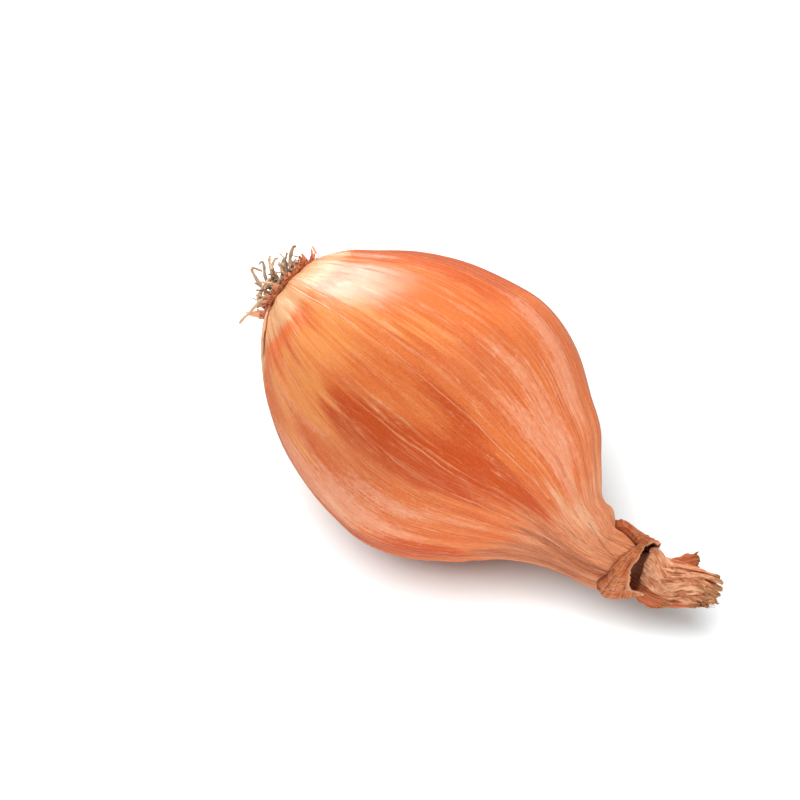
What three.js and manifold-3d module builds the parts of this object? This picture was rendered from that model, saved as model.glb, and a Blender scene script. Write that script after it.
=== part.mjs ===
// A whole dry onion lying on its side: a bulb in its papery skin that runs out into a bent, withered neck,
// a folded cuff of skin round the neck, the twisted dry leaf ends that come out of it, the root plate with
// its tuft of dry roots, and the torn edge of skin round that plate.
// Millimetres, +Z up. The origin is the middle of the flat spot that the onion lies on. The root end points
// to -X and up, the neck to +X and down, and the neck's end bends towards +Y.
import * as THREE from "three";
import { mergeVertices } from "three/addons/utils/BufferGeometryUtils.js";
import Module from "manifold-3d";

const wasm = await Module();
wasm.setup();

// Driving dimensions

const TILT = THREE.MathUtils.degToRad(17.5); // the neck's end points this far below level
const FLAT_DEPTH = 0.6; // how much the resting spot is pressed in from the round form
const GAP = 0.35; // between pieces that touch
const CUFF_GAP = 0.55; // between the neck and the cuff that hugs it

// Half widths of the bulb along its axis: [distance from the root end, radius]
const BULB = [
  [0, 9.5], [1.6, 12.3], [4.6, 15.7], [8.4, 19.0], [13.4, 22.9], [18.8, 26.2], [25.1, 29.0],
  [32, 31.1], [39.4, 32.4], [46, 32.8], [52.8, 31.3], [58.6, 28.6], [64.9, 24.2], [70.8, 19.8],
  [76, 14.7], [81, 10.4], [85.4, 8.8], [89.6, 7.3], [93, 6.8], [96.5, 6.1],
];
// The rounds are a little off centre: [distance from the root end, offset to the outside of the bend]
const OFF_CENTRE = [
  [0, 0], [5, -0.1], [10, -0.5], [18, -0.3], [30, 0], [66, 0], [70.5, -0.4], [74, -1.3], [79, -1.2],
  [82, -0.4], [84.5, 0.6], [87, 0.8], [90, 0.2], [96.5, 0],
];
const NECK_MOUTH = 96.5; // the skin tube of the neck ends here
const MOUTH_RADIUS = 5; // the socket in the neck that the dry leaves come out of
const MOUTH_DEPTH = 8;
const SOCKET_RADIUS = 7.2; // the socket at the root end that the root plate grows in
const SOCKET_DEPTH = 3;

// The neck bends in one plane: [distance along the axis, angle off the straight axis in degrees]
const BEND = [[0, 0], [66, 0], [72, -6], [78, -11], [84, -5], [88, 6], [92, 19], [98, 22], [124, 18]];
const BEND_TOWARDS = THREE.MathUtils.degToRad(-55); // round the axis from the top, positive to -Y

// The skin's low ribs, higher where they gather at the two ends
const RIB_COUNT = 14;
const RIB_BELLY = 0.14;
const RIB_ENDS = 0.3;
const SECTIONS = 4 * RIB_COUNT; // sides of the turned forms

const CUFF_STEPS = 6;
const CUFF_SKIN = 0.7;
// Round the neck: [angle in degrees, where the cuff leaves the neck, where its rim ends, how far its middle
// bulges, how far its rim stands out past the neck]. It is pinched to a point near -13 degrees.
const CUFF = [
  [-180, 93, 98.6, 0.2, -1.2], [-140, 91, 99.6, 0.2, -1.2], [-100, 89.2, 101, 0.2, -1.2],
  [-65, 88.8, 101.4, 0.3, -1.5], [-42, 89.4, 101.4, 0.4, -1.1], [-27, 92.2, 100.9, 0.6, -0.4],
  [-17, 96.2, 99.6, 0.4, -0.2], [-10, 97.3, 98.9, 0.2, -0.3], [4, 96.3, 98.6, 0.4, -0.2],
  [22, 94.8, 98.2, 0.6, -0.2], [44, 93.6, 97.7, 0.8, -0.3], [66, 92.8, 98.1, 0.9, -0.4],
  [82, 91.6, 98.5, 0.7, -0.9], [94, 91.7, 100.9, 0.3, -1.5], [102, 91.9, 100.8, 0.1, -1.7],
  [112, 92.2, 98.8, 0, -1.5], [145, 93, 98.4, 0, -1.5], [180, 93, 98.6, 0.2, -1.2],
];

const TAIL_START = 89;
const TAIL_END = 113.5;
const TAIL_FOLDS = 9;
// The bundle of dry leaves: [distance along the axis, half width to the outside of the bend, half
// thickness, how far its middle lies to the outside of the bend]
const TAIL = [
  [89, 4.4, 4.4, 0], [94.5, 4, 4, 0], [98, 3.2, 2.9, 0.4], [100.3, 4.3, 3.8, 0.6], [102, 4.3, 4, 0.1],
  [104.6, 4.1, 3.9, -0.5], [108, 3.5, 3.6, -0.5], [111, 3.1, 3.1, -0.1], [113.5, 2.7, 2.6, 0],
];
const LEAF_SKIN = 0.7;

const ROOT_COUNT = 26;
const ROOT_BASE_RADIUS = 0.5;
const ROOT_TIP_RADIUS = 0.26;
const ROOT_FOOT = 0.3; // the roots start this far inside the root end, within the plate
const PLATE_RADIUS = 6.85;

// Helpers

const radians = THREE.MathUtils.degToRad;
const clamp = THREE.MathUtils.clamp;

// A smooth curve through stations [position, value, ...]: the value in the given column at a position.
function along(stations, at, column = 1) {
  const last = stations.length - 1;
  const x = clamp(at, stations[0][0], stations[last][0]);
  let i = 0;
  while (i < last - 1 && x > stations[i + 1][0]) {
    i++;
  }
  const slope = (k) => {
    const a = stations[Math.max(k - 1, 0)];
    const b = stations[Math.min(k + 1, last)];
    return (b[column] - a[column]) / (b[0] - a[0]);
  };
  const step = stations[i + 1][0] - stations[i][0];
  const t = (x - stations[i][0]) / step;
  const t2 = t * t;
  const t3 = t2 * t;
  return (
    (2 * t3 - 3 * t2 + 1) * stations[i][column] +
    (t3 - 2 * t2 + t) * step * slope(i) +
    (3 * t2 - 2 * t3) * stations[i + 1][column] +
    (t3 - t2) * step * slope(i + 1)
  );
}

// Repeatable random numbers from 0 to 1
function randomFrom(seed) {
  let state = seed >>> 0;
  return () => {
    state = (state + 0x6d2b79f5) >>> 0;
    let t = state;
    t = Math.imul(t ^ (t >>> 15), t | 1);
    t ^= t + Math.imul(t ^ (t >>> 7), t | 61);
    return ((t ^ (t >>> 14)) >>> 0) / 4294967296;
  };
}

// The height of a bump with its middle at an angle, 1 there and 0 past its width, going round the axis
function bump(angle, middle, width) {
  const away = Math.atan2(Math.sin(angle - middle), Math.cos(angle - middle));
  const t = clamp(1 - Math.abs(away) / width, 0, 1);
  return t * t * (3 - 2 * t);
}

// The spine: a straight axis through the bulb, then the bent neck

const AXIS = new THREE.Vector3(Math.cos(TILT), 0, -Math.sin(TILT));
const NEAR = new THREE.Vector3(0, -1, 0);
const TOP = new THREE.Vector3().crossVectors(NEAR, AXIS);
const SIDEWAYS = new THREE.Vector3()
  .addScaledVector(TOP, Math.cos(BEND_TOWARDS))
  .addScaledVector(NEAR, Math.sin(BEND_TOWARDS));
const HINGE = new THREE.Vector3().crossVectors(AXIS, SIDEWAYS);
const SPINE_STEP = 0.5;

// Where the round bulb would touch a floor, which sets the height and place of its root end.
function lowestPoint() {
  let best = { drop: -Infinity, reach: 0 };
  for (let s = 0; s <= NECK_MOUTH; s += 0.1) {
    const r = along(BULB, s);
    const drop = s * Math.sin(TILT) + r * Math.cos(TILT);
    if (drop > best.drop) {
      best = { drop, reach: s * Math.cos(TILT) - r * Math.sin(TILT) };
    }
  }
  return best;
}
const LOWEST = lowestPoint();
const ROOT_END = new THREE.Vector3(-LOWEST.reach, 0, LOWEST.drop - FLAT_DEPTH);

// Points of the spine a step apart, from the root end on
const spinePoints = [ROOT_END.clone()];
const bendAt = (s) => radians(along(BEND, s));
for (let s = SPINE_STEP; s <= TAIL_END + 8; s += SPINE_STEP) {
  const direction = AXIS.clone().applyAxisAngle(HINGE, bendAt(s - SPINE_STEP / 2));
  spinePoints.push(spinePoints.at(-1).clone().addScaledVector(direction, SPINE_STEP));
}

// The point at a distance along the spine, an angle round it and a distance from it.
function place(s, angle, radius) {
  const point = ROOT_END.clone();
  if (s <= 0) {
    point.addScaledVector(AXIS, s);
  } else {
    const i = Math.min(Math.floor(s / SPINE_STEP), spinePoints.length - 2);
    point.lerpVectors(spinePoints[i], spinePoints[i + 1], s / SPINE_STEP - i);
  }
  const turn = bendAt(Math.max(s, 0));
  const top = TOP.clone().applyAxisAngle(HINGE, turn);
  const near = NEAR.clone().applyAxisAngle(HINGE, turn);
  return point
    .addScaledVector(top, radius * Math.cos(angle))
    .addScaledVector(near, radius * Math.sin(angle));
}

// Solids

// Moves every vertex of a geometry and leaves only its merged positions.
function warped(geometry, move) {
  const position = geometry.getAttribute("position");
  const point = new THREE.Vector3();
  for (let i = 0; i < position.count; i++) {
    point.fromBufferAttribute(position, i);
    const moved = move(point);
    position.setXYZ(i, moved.x, moved.y, moved.z);
  }
  geometry.deleteAttribute("normal");
  geometry.deleteAttribute("uv");
  return mergeVertices(geometry, 1e-4);
}

function solidOf(geometry) {
  const position = geometry.getAttribute("position").array;
  const corners = new Uint32Array(geometry.index.array);
  const make = () =>
    new wasm.Manifold(
      new wasm.Mesh({ numProp: 3, vertProperties: new Float32Array(position), triVerts: corners }),
    );
  const made = make();
  if (made.volume() >= 0) {
    return made;
  }
  // The faces run the other way round, so each is turned over
  for (let i = 0; i < corners.length; i += 3) {
    [corners[i + 1], corners[i + 2]] = [corners[i + 2], corners[i + 1]];
  }
  return make();
}

function geometryOf(solid) {
  const mesh = solid.getMesh();
  const geometry = new THREE.BufferGeometry();
  geometry.setAttribute("position", new THREE.BufferAttribute(mesh.vertProperties, 3));
  geometry.setIndex(new THREE.BufferAttribute(mesh.triVerts, 1));
  geometry.computeVertexNormals();
  return geometry;
}

// A profile of [distance along the spine, radius] turned round the spine, with the radius of each vertex
// changed by shape(s, angle, radius), which returns [s, radius].
function turned(profile, sections, shape = (s, angle, radius) => [s, radius]) {
  const outline = profile.map(([s, radius]) => new THREE.Vector2(radius, s));
  return warped(new THREE.LatheGeometry(outline, sections), (point) => {
    const radius = Math.hypot(point.x, point.z);
    const angle = Math.atan2(point.x, point.z);
    const [s, r] = shape(point.y, angle, radius);
    return place(s, angle, r);
  });
}

// The bulb

// Uneven spacing of the ribs round the bulb
const ribAngle = (angle) => angle + 0.1 * Math.sin(3 * angle + 1) + 0.06 * Math.sin(5 * angle + 2);

// How far the skin stands out of the plain turned form
function relief(s, angle) {
  const ends = Math.max(along([[0, 1], [12, 0.5], [30, 0]], s), along([[60, 0], [78, 0.6], [90, 1]], s));
  const height = RIB_BELLY + (RIB_ENDS - RIB_BELLY) * clamp(ends, 0, 1);
  const rib = height * Math.cos(RIB_COUNT * ribAngle(angle));
  const swell = Math.sin(Math.PI * clamp(s / 90, 0, 1));
  const lumps = 0.25 * Math.cos(2 * angle + 0.6) + 0.15 * Math.cos(3 * angle - 0.05 * s);
  return rib + swell * lumps + along(OFF_CENTRE, s) * Math.cos(angle - BEND_TOWARDS);
}

const bulbRadius = (s, angle) => along(BULB, s) + relief(s, angle);

function bulbSolid() {
  const skinSteps = 30;
  const skin = [];
  for (let i = 0; i <= skinSteps; i++) {
    const t = i / skinSteps;
    // Closer steps at both ends, where the outline turns fastest
    const s = NECK_MOUTH * (t - (0.5 * Math.sin(2 * Math.PI * t)) / (2 * Math.PI));
    skin.push([s, along(BULB, s)]);
  }
  const mouthSteps = 4;
  const mouth = [];
  for (let i = 0; i <= mouthSteps; i++) {
    mouth.push([NECK_MOUTH - (MOUTH_DEPTH * i) / mouthSteps, MOUTH_RADIUS]);
  }
  const profile = [
    [SOCKET_DEPTH, 0],
    [SOCKET_DEPTH, SOCKET_RADIUS],
    [0.2, SOCKET_RADIUS],
    ...skin,
    ...mouth,
    [NECK_MOUTH - MOUTH_DEPTH, 0],
  ];
  const round = solidOf(
    turned(profile, SECTIONS, (s, angle, radius) => {
      const onSkin = radius > SOCKET_RADIUS + 0.01 || (s > 60 && radius > MOUTH_RADIUS + 0.01);
      return [s, onSkin ? radius + relief(s, angle) : radius];
    }),
  );
  const reach = 200;
  const above = solidOf(
    warped(new THREE.BoxGeometry(reach, reach, reach), (p) => p.clone().setZ(p.z + reach / 2)),
  );
  return round.intersect(above);
}

// The cuff

// A column of the cuff's table at an angle
const roundCuff = (angle, column) =>
  along(CUFF, THREE.MathUtils.radToDeg(Math.atan2(Math.sin(angle), Math.cos(angle))), column);

const cuffStation = (share, angle) => {
  const start = roundCuff(angle, 1);
  return start + share * (roundCuff(angle, 2) - start);
};

// The cuff's outer radius at a share of the way from its start to its rim
function cuffRadius(share, angle) {
  const s = cuffStation(share, angle);
  const hug = bulbRadius(Math.min(s, NECK_MOUTH), angle) + CUFF_GAP + CUFF_SKIN;
  const bulge = roundCuff(angle, 3) * Math.sin(Math.PI * clamp(share * 1.1, 0, 1));
  const creases = 0.1 + 0.16 * Math.sin(9 * angle + 5 * share) + 0.08 * Math.sin(5 * angle - 3 * share);
  const rim = roundCuff(angle, 4) * along([[0, 0], [0.6, 0], [1, 1]], share);
  return hug + bulge + creases * clamp(3 * share - 0.3, 0, 1) + rim;
}

// The two faces of the cuff's profile, before they take their real radii
const INSIDE = 9;
const OUTSIDE = 10;

function cuffSolid() {
  const profile = [];
  for (let i = 0; i <= CUFF_STEPS; i++) {
    profile.push([i / CUFF_STEPS, OUTSIDE]);
  }
  for (let i = CUFF_STEPS; i >= 0; i--) {
    profile.push([i / CUFF_STEPS, INSIDE]);
  }
  profile.push(profile[0]);
  return solidOf(
    turned(profile, SECTIONS, (share, angle, radius) => {
      const outer = cuffRadius(share, angle);
      return [cuffStation(share, angle), radius > (INSIDE + OUTSIDE) / 2 ? outer : outer - CUFF_SKIN];
    }),
  );
}

// The dry leaves of the neck

const TAIL_TWIST = radians(70);

// The radius of the bundle: an oval gathered in folds that twist and deepen towards its end
function tailRadius(s, angle) {
  const wide = along(TAIL, s, 1);
  const thick = along(TAIL, s, 2);
  const across = angle - BEND_TOWARDS;
  const oval = (wide * thick) / Math.hypot(thick * Math.cos(across), wide * Math.sin(across));
  const open = clamp((s - 96) / 8, 0, 1);
  const turnedAngle = angle + (TAIL_TWIST * (s - NECK_MOUTH)) / (TAIL_END - NECK_MOUTH);
  const fold = Math.abs(Math.sin((TAIL_FOLDS * turnedAngle) / 2 + 0.5 * Math.sin(2 * turnedAngle)));
  return oval * (1 + open * (0.16 * fold - 0.13));
}

// A point given by how far it is from the spine to the outside of the bend and to the front of it
function tailPlace(s, outside, front) {
  return place(s, BEND_TOWARDS + Math.atan2(front, outside), Math.hypot(front, outside));
}

function tailCore() {
  const steps = 13;
  const outline = [new THREE.Vector2(0, TAIL_START)];
  for (let i = 0; i <= steps; i++) {
    outline.push(new THREE.Vector2(4, TAIL_START + ((TAIL_END - TAIL_START) * i) / steps));
  }
  outline.push(new THREE.Vector2(0, TAIL_END - 1.2));
  return solidOf(
    warped(new THREE.LatheGeometry(outline, 4 * TAIL_FOLDS), (point) => {
      const angle = Math.atan2(point.x, point.z);
      const onSide = Math.hypot(point.x, point.z) > 1;
      const tear = 0.9 * Math.sin(7 * angle) + 0.5 * Math.sin(11 * angle + 1);
      const ragged = point.y > TAIL_END - 0.01 ? tear : 0;
      const radius = onSide ? tailRadius(point.y, angle) : 0;
      const round = angle - BEND_TOWARDS;
      const lean = along(TAIL, point.y, 3);
      return tailPlace(point.y + ragged, lean + radius * Math.cos(round), radius * Math.sin(round));
    }),
  );
}

// Strips of dry leaf on the bundle, as rows from root to tip of
// [s, to the outside of the bend, to the front, width, turn of the width in degrees, slant of the end]
const FLAP = [
  [100.5, 0.2, -2.4, 3.4, 0, -0.1], [103.5, 0.9, -3.0, 4.2, 4, -0.3], [106.6, 2.1, -3.4, 4.8, 8, -0.6],
  [110.5, 4.2, -3.2, 4.7, 12, -0.8],
];
const LEAF_STRIPS = [
  FLAP,
  // The two layers that hang a little below, the first with a blunt end
  [[99.4, -2.6, 1.6, 3.0, 20, 0.1], [101, -4.0, 1.6, 3.4, 20, 0.1], [103.4, -4.9, 1.4, 3.4, 15, 0],
    [106.2, -5.0, 1.2, 3.0, 15, 0.6]],
  [[101.8, -3.2, 0.8, 3.4, 60, 0], [104.6, -4.4, 1.0, 3.6, 50, 0.1], [107.8, -4.2, 1.2, 3.2, 40, 0.2],
    [112.3, -3.0, 1.2, 2.0, 50, 0.3]],
  // The broad band on the near side
  [[100.4, 1.8, 2.9, 3.8, -15, 0], [103, 1.5, 3.6, 4.6, -10, 0], [108, 0.7, 3.4, 4.0, 0, 0],
    [116.3, 0.1, 2.2, 2.6, 10, 0.2]],
  // The narrow strips at the ragged end
  [[106, 2.8, 1.2, 2.6, -70, 0], [110.5, 2.5, 1.0, 2.2, -70, 0], [115.8, 1.9, 0.8, 1.6, -60, 0.3]],
  [[106, -2.6, 2.2, 2.6, 40, 0], [110, -2.1, 2.0, 2.2, 40, 0], [116.1, -1.3, 1.6, 1.9, 40, -0.4]],
  [[107, -0.4, -3.0, 3.0, 0, 0], [111, 0.1, -2.5, 2.6, 5, 0], [115.6, 0.7, -1.9, 2.0, 10, 0.3]],
];

function leafStrip(rows) {
  const steps = 2 * (rows.length - 1);
  const box = new THREE.BoxGeometry(1, 1, rows.length - 1, 3, 1, steps);
  return solidOf(
    warped(box, (point) => {
      const row = point.z + (rows.length - 1) / 2;
      const value = (column) => along(rows.map((r, i) => [i, r[column]]), row);
      const turn = radians(value(4));
      const across = point.x * value(3);
      const cupped = 0.25 * (4 * point.x * point.x - 1) + point.y * LEAF_SKIN;
      const side = value(1) + across * Math.cos(turn) + cupped * Math.sin(turn);
      const front = value(2) + across * Math.sin(turn) - cupped * Math.cos(turn);
      return tailPlace(value(0) + across * value(5), side, front);
    }),
  );
}

function tailSolid() {
  return wasm.Manifold.union([tailCore(), ...LEAF_STRIPS.map(leafStrip)]);
}

// The root plate and its dry roots

function plateSolid() {
  const profile = [
    [SOCKET_DEPTH - GAP, 0], [SOCKET_DEPTH - GAP, PLATE_RADIUS], [-0.5, PLATE_RADIUS],
    [-1.3, 5.9], [-1.9, 3.6], [-2.1, 0],
  ];
  return solidOf(turned(profile, 28));
}

// A root along a curve through points, thinner towards its tip
function rootSolid(path, base, tip) {
  const curve = new THREE.CatmullRomCurve3(path);
  const steps = 2 * path.length - 2;
  const frames = curve.computeFrenetFrames(steps);
  const cylinder = new THREE.CylinderGeometry(tip, base, 1, 4, steps);
  return solidOf(
    warped(cylinder, (point) => {
      const row = Math.round((point.y + 0.5) * steps);
      return curve
        .getPointAt(row / steps)
        .addScaledVector(frames.normals[row], point.x)
        .addScaledVector(frames.binormals[row], point.z);
    }),
  );
}

const RIM_CLEAR = -2.5; // roots that pass over the torn skin stay further out than this
const PLATE_EDGE = 6.4;
const TUFT_RADIUS = 7.2; // the roots of the tuft spread no further than this

// The path of a root that starts on the plate and wanders outwards
function rootPath(random, length, start, angle, lean) {
  const steps = 4;
  let s = ROOT_FOOT;
  let radius = start;
  let heading = angle;
  let slope = lean;
  const path = [place(s, heading, radius)];
  for (let i = 1; i <= steps; i++) {
    const step = length / steps;
    s -= step * Math.cos(slope);
    radius = clamp(radius + step * Math.sin(slope), 0, TUFT_RADIUS);
    heading += (random() - 0.5) * 0.9 * (step / Math.max(radius, 2));
    slope = clamp(slope + (random() - 0.35) * 0.9, -1.2, 1.75);
    if (radius > PLATE_EDGE) {
      s = Math.min(s, RIM_CLEAR);
    }
    path.push(place(s, heading, radius));
  }
  return path;
}

// The roots that stand out of the tuft, each as points [s, angle in degrees, radius], the long one first
const STRANDS = [
  [[-0.3, 30, 3.2], [-1.9, 42, 3.8], [-2.7, 39, 4.0], [-2.8, 50, 4.4], [-3.0, 67, 5.2], [-3.2, 80, 6.5],
    [-3.5, 89, 8.6], [-3.7, 96, 10.6], [-4.0, 100, 12.5], [-4.0, 104, 13.8]],
  [[-0.3, 42, 3.4], [-1.7, 44, 3.8], [-2.9, 36, 3.9], [-4.2, 31, 3.8], [-6.1, 21, 3.5], [-7.7, 8, 3.4]],
  [[-0.3, 104, 3.0], [-3.4, 101, 3.7], [-5.1, 98, 4.0], [-7.7, 88, 3.7], [-9.3, 80, 3.3],
    [-10.3, 73, 3.1], [-10.2, 64, 2.7], [-9.1, 56, 2.5], [-8.2, 53, 2.1]],
  [[-4.9, 94, 3.8], [-6.3, 92, 4.0], [-7.1, 92, 4.2], [-7.8, 93, 4.4]],
  [[-0.3, 90, 6.2], [-2.2, 92, 7.0], [-3.6, 91, 7.6], [-4.4, 89, 7.1], [-5.0, 82, 6.0], [-5.3, 72, 5.0],
    [-5.5, 55, 3.8], [-5.3, 32, 3.2], [-5.5, 5, 3.0]],
  [[-0.3, 110, 2.4], [-4.0, 108, 2.7], [-5.8, 98, 2.2], [-7.1, 80, 1.7], [-8.2, 48, 1.3],
    [-9.3, 10, 1.4], [-10.1, -1, 1.5], [-10.4, 36, 1.1]],
  [[-0.3, 75, 2.4], [-3.5, 70, 2.5], [-5.4, 46, 2.2], [-7.2, 12, 2.5], [-8.5, -5, 3.0], [-9.4, -17, 3.6]],
  [[-5.4, 46, 2.2], [-7.0, 11, 2.6], [-7.7, -12, 3.5], [-7.7, -23, 4.6]],
  [[-0.3, 30, 1.2], [-3.4, 20, 1.2], [-4.3, -6, 2.0], [-5.1, -26, 3.3], [-6.2, -34, 4.2],
    [-6.4, -39, 5.1], [-6.7, -43, 6.2]],
  [[-0.3, -39, 2.6], [-1.8, -39, 2.9], [-2.8, -38, 3.5], [-4.1, -39, 4.5], [-5.3, -42, 5.3],
    [-6.1, -45, 6.6], [-6.7, -48, 8.0], [-6.2, -49, 8.5]],
  [[-0.3, 15, 3.4], [-2.2, 7, 4.0], [-2.7, -6, 4.8], [-2.7, -16, 5.9], [-2.8, -23, 7.0]],
  [[-0.3, 20, 2.3], [-2.0, 16, 2.5], [-3.6, 1, 3.4], [-5.5, -9, 3.9], [-6.7, -12, 4.0]],
  [[-0.3, 8, 2.8], [-1.9, 5, 3.0], [-3.0, -4, 3.8], [-4.0, -11, 4.4], [-5.2, -13, 4.7], [-5.9, -13, 4.5]],
  [[-0.3, -14, 2.4], [-2.2, -16, 2.8], [-3.2, -22, 3.7], [-4.2, -27, 4.6], [-5.4, -28, 4.8]],
  [[-0.3, 80, 5.8], [-1.6, 80, 6.2], [-2.6, 82, 6.8], [-3.0, 88, 8.0], [-3.1, 93, 8.9]],
  [[-0.3, 72, 4.8], [-1.4, 72, 5.2], [-2.4, 74, 5.8], [-3.5, 75, 6.0], [-4.6, 74, 5.8]],
];

function rootsSolid() {
  const random = randomFrom(41);
  const roots = [];
  for (let i = 0; i < ROOT_COUNT; i++) {
    const start = 5.8 * Math.sqrt((i + 0.5) / ROOT_COUNT);
    const angle = i * radians(137.5) + 0.5 * random();
    const length = 4.5 + 4.5 * random() * random();
    const lean = 0.12 + (0.75 * start) / 6 + 0.5 * (random() - 0.5);
    const size = 0.8 + 0.4 * random();
    const path = rootPath(random, length, start, angle, lean);
    roots.push(rootSolid(path, ROOT_BASE_RADIUS * size, ROOT_TIP_RADIUS * size));
  }
  for (const strand of STRANDS) {
    const path = strand.map(([s, angle, radius]) => place(s, radians(angle), radius));
    roots.push(rootSolid(path, ROOT_BASE_RADIUS, ROOT_TIP_RADIUS));
  }
  return wasm.Manifold.union([plateSolid(), ...roots]);
}

// The torn skin round the root plate

const RIM_SECTIONS = 72;
const raggedness = (angle) =>
  0.5 + 0.28 * Math.sin(13 * angle) + 0.22 * Math.sin(23 * angle + 1) + 0.2 * Math.sin(5 * angle + 2);

// A ring whose outer edge stands off the shoulder, ragged and uneven
function rimSolid() {
  const profile = [[0, 7.3], [0, 9.2], [-0.55, 9.8], [-0.7, 8.6], [-1, 7.7], [-0.4, 7.25], [0, 7.3]];
  const ring = solidOf(
    turned(profile, RIM_SECTIONS, (s, angle, radius) => {
      const ragged = clamp(raggedness(angle), 0, 1);
      const outside = clamp((radius - 7.3) / 2.5, 0, 1);
      return [-GAP + s * (0.75 + 0.9 * ragged), radius + outside * (ragged - 0.5) * 0.9];
    }),
  );
  return wasm.Manifold.union([ring, stripSolid(), ...FLAKES.map(flakeSolid)]);
}

// Loose flakes of skin: where they grow out of the rim, how far they reach and how wide they start
const FLAKES = [
  { angle: radians(107), width: 3.8, out: 2.2, lift: 3.0 },
  { angle: radians(-58), width: 2.4, out: 2.4, lift: 2.2 },
  { angle: radians(200), width: 3.4, out: 2.6, lift: 1.0 },
];
const FLAKE_SKIN = 0.65;

function flakeSolid({ angle, width, out, lift }) {
  const box = new THREE.BoxGeometry(1, 1, 1, 2, 1, 3);
  return solidOf(
    warped(box, (point) => {
      const share = point.z + 0.5;
      const across = point.x * width * (1 - 0.85 * share);
      const radius = 8.4 + share * out;
      const s = -GAP - 0.5 - share * lift + point.y * FLAKE_SKIN - 0.5 * point.x * point.x * share;
      return place(s, angle + across / radius, radius);
    }),
  );
}

// A strip of torn skin that runs from the rim down the shoulder: [s, angle in degrees, width in degrees]
const SHOULDER_STRIP = [[-0.3, 86, 30], [1.6, 86, 24], [3.6, 89, 16], [5.8, 96, 6]];

// A point at a height above the bulb's skin, which turns in to the socket where s is below 0
function offSkin(s, angle, height) {
  const start = Math.max(s, 0);
  const radius = bulbRadius(start, angle);
  const rise = (bulbRadius(start + 0.2, angle) - radius) / 0.2;
  const slant = Math.hypot(1, rise);
  return place(start - (height * rise) / slant, angle, radius + 3 * (s - start) + height / slant);
}

function stripSolid() {
  const last = SHOULDER_STRIP.length - 1;
  const box = new THREE.BoxGeometry(1, 1, last, 4, 1, 2 * last);
  return solidOf(
    warped(box, (point) => {
      const row = point.z + last / 2;
      const value = (column) => along(SHOULDER_STRIP.map((r, i) => [i, r[column]]), row);
      const height = GAP + 0.22 + (point.y + 0.5) * FLAKE_SKIN;
      return offSkin(value(0), radians(value(1) + point.x * value(2)), height);
    }),
  );
}

// The onion

function piece(name, solid, colour, roughness) {
  const material = new THREE.MeshStandardMaterial({ color: colour, roughness, metalness: 0 });
  const mesh = new THREE.Mesh(geometryOf(solid), material);
  mesh.name = name;
  return mesh;
}

const onion = new THREE.Group();
onion.add(piece("bulb", bulbSolid(), 0xd9723a, 0.4));
onion.add(piece("neck_cuff", cuffSolid(), 0xb9744a, 0.75));
onion.add(piece("neck_leaves", tailSolid(), 0xc08a5c, 0.85));
onion.add(piece("root_tuft", rootsSolid(), 0x9c7c5c, 0.9));
onion.add(piece("torn_skin", rimSolid(), 0x9a4726, 0.8));

export default onion;
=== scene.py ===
import math

import bpy
import numpy as np
from mathutils import Matrix, Vector


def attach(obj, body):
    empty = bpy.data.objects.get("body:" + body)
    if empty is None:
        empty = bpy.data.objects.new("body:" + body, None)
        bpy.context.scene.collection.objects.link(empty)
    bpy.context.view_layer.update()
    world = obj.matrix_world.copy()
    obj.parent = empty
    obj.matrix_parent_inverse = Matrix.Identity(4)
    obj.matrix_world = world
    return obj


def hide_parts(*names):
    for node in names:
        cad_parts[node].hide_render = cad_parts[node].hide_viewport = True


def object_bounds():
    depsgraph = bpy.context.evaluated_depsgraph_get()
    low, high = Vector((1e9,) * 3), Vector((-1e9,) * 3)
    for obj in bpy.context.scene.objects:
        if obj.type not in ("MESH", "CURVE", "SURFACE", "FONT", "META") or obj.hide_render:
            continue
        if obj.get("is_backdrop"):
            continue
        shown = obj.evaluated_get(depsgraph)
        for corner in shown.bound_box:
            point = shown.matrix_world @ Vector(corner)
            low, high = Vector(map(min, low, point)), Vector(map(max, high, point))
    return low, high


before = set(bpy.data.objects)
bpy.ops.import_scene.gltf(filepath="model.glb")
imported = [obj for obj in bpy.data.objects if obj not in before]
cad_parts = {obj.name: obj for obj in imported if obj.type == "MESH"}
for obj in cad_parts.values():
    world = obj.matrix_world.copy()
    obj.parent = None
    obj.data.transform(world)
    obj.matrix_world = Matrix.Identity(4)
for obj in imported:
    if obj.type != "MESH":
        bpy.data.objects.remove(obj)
CAD_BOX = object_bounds()
MILLIMETRE = 0.001
TURN = 2 * np.pi

# The form of the onion, as in the frame

TILT = math.radians(17.5)
FLAT_DEPTH = 0.6
CUFF_GAP = 0.55
CUFF_SKIN = 0.7
BULB = [
    [0, 9.5], [1.6, 12.3], [4.6, 15.7], [8.4, 19.0], [13.4, 22.9], [18.8, 26.2], [25.1, 29.0],
    [32, 31.1], [39.4, 32.4], [46, 32.8], [52.8, 31.3], [58.6, 28.6], [64.9, 24.2], [70.8, 19.8],
    [76, 14.7], [81, 10.4], [85.4, 8.8], [89.6, 7.3], [93, 6.8], [96.5, 6.1],
]
OFF_CENTRE = [
    [0, 0], [5, -0.1], [10, -0.5], [18, -0.3], [30, 0], [66, 0], [70.5, -0.4], [74, -1.3], [79, -1.2],
    [82, -0.4], [84.5, 0.6], [87, 0.8], [90, 0.2], [96.5, 0],
]
NECK_MOUTH = 96.5
MOUTH_RADIUS = 5
MOUTH_DEPTH = 8
SOCKET_RADIUS = 7.2
BEND = [[0, 0], [66, 0], [72, -6], [78, -11], [84, -5], [88, 6], [92, 19], [98, 22], [124, 18]]
BEND_TOWARDS = math.radians(-55)
RIB_COUNT = 14
RIB_BELLY = 0.14
RIB_ENDS = 0.3
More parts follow.
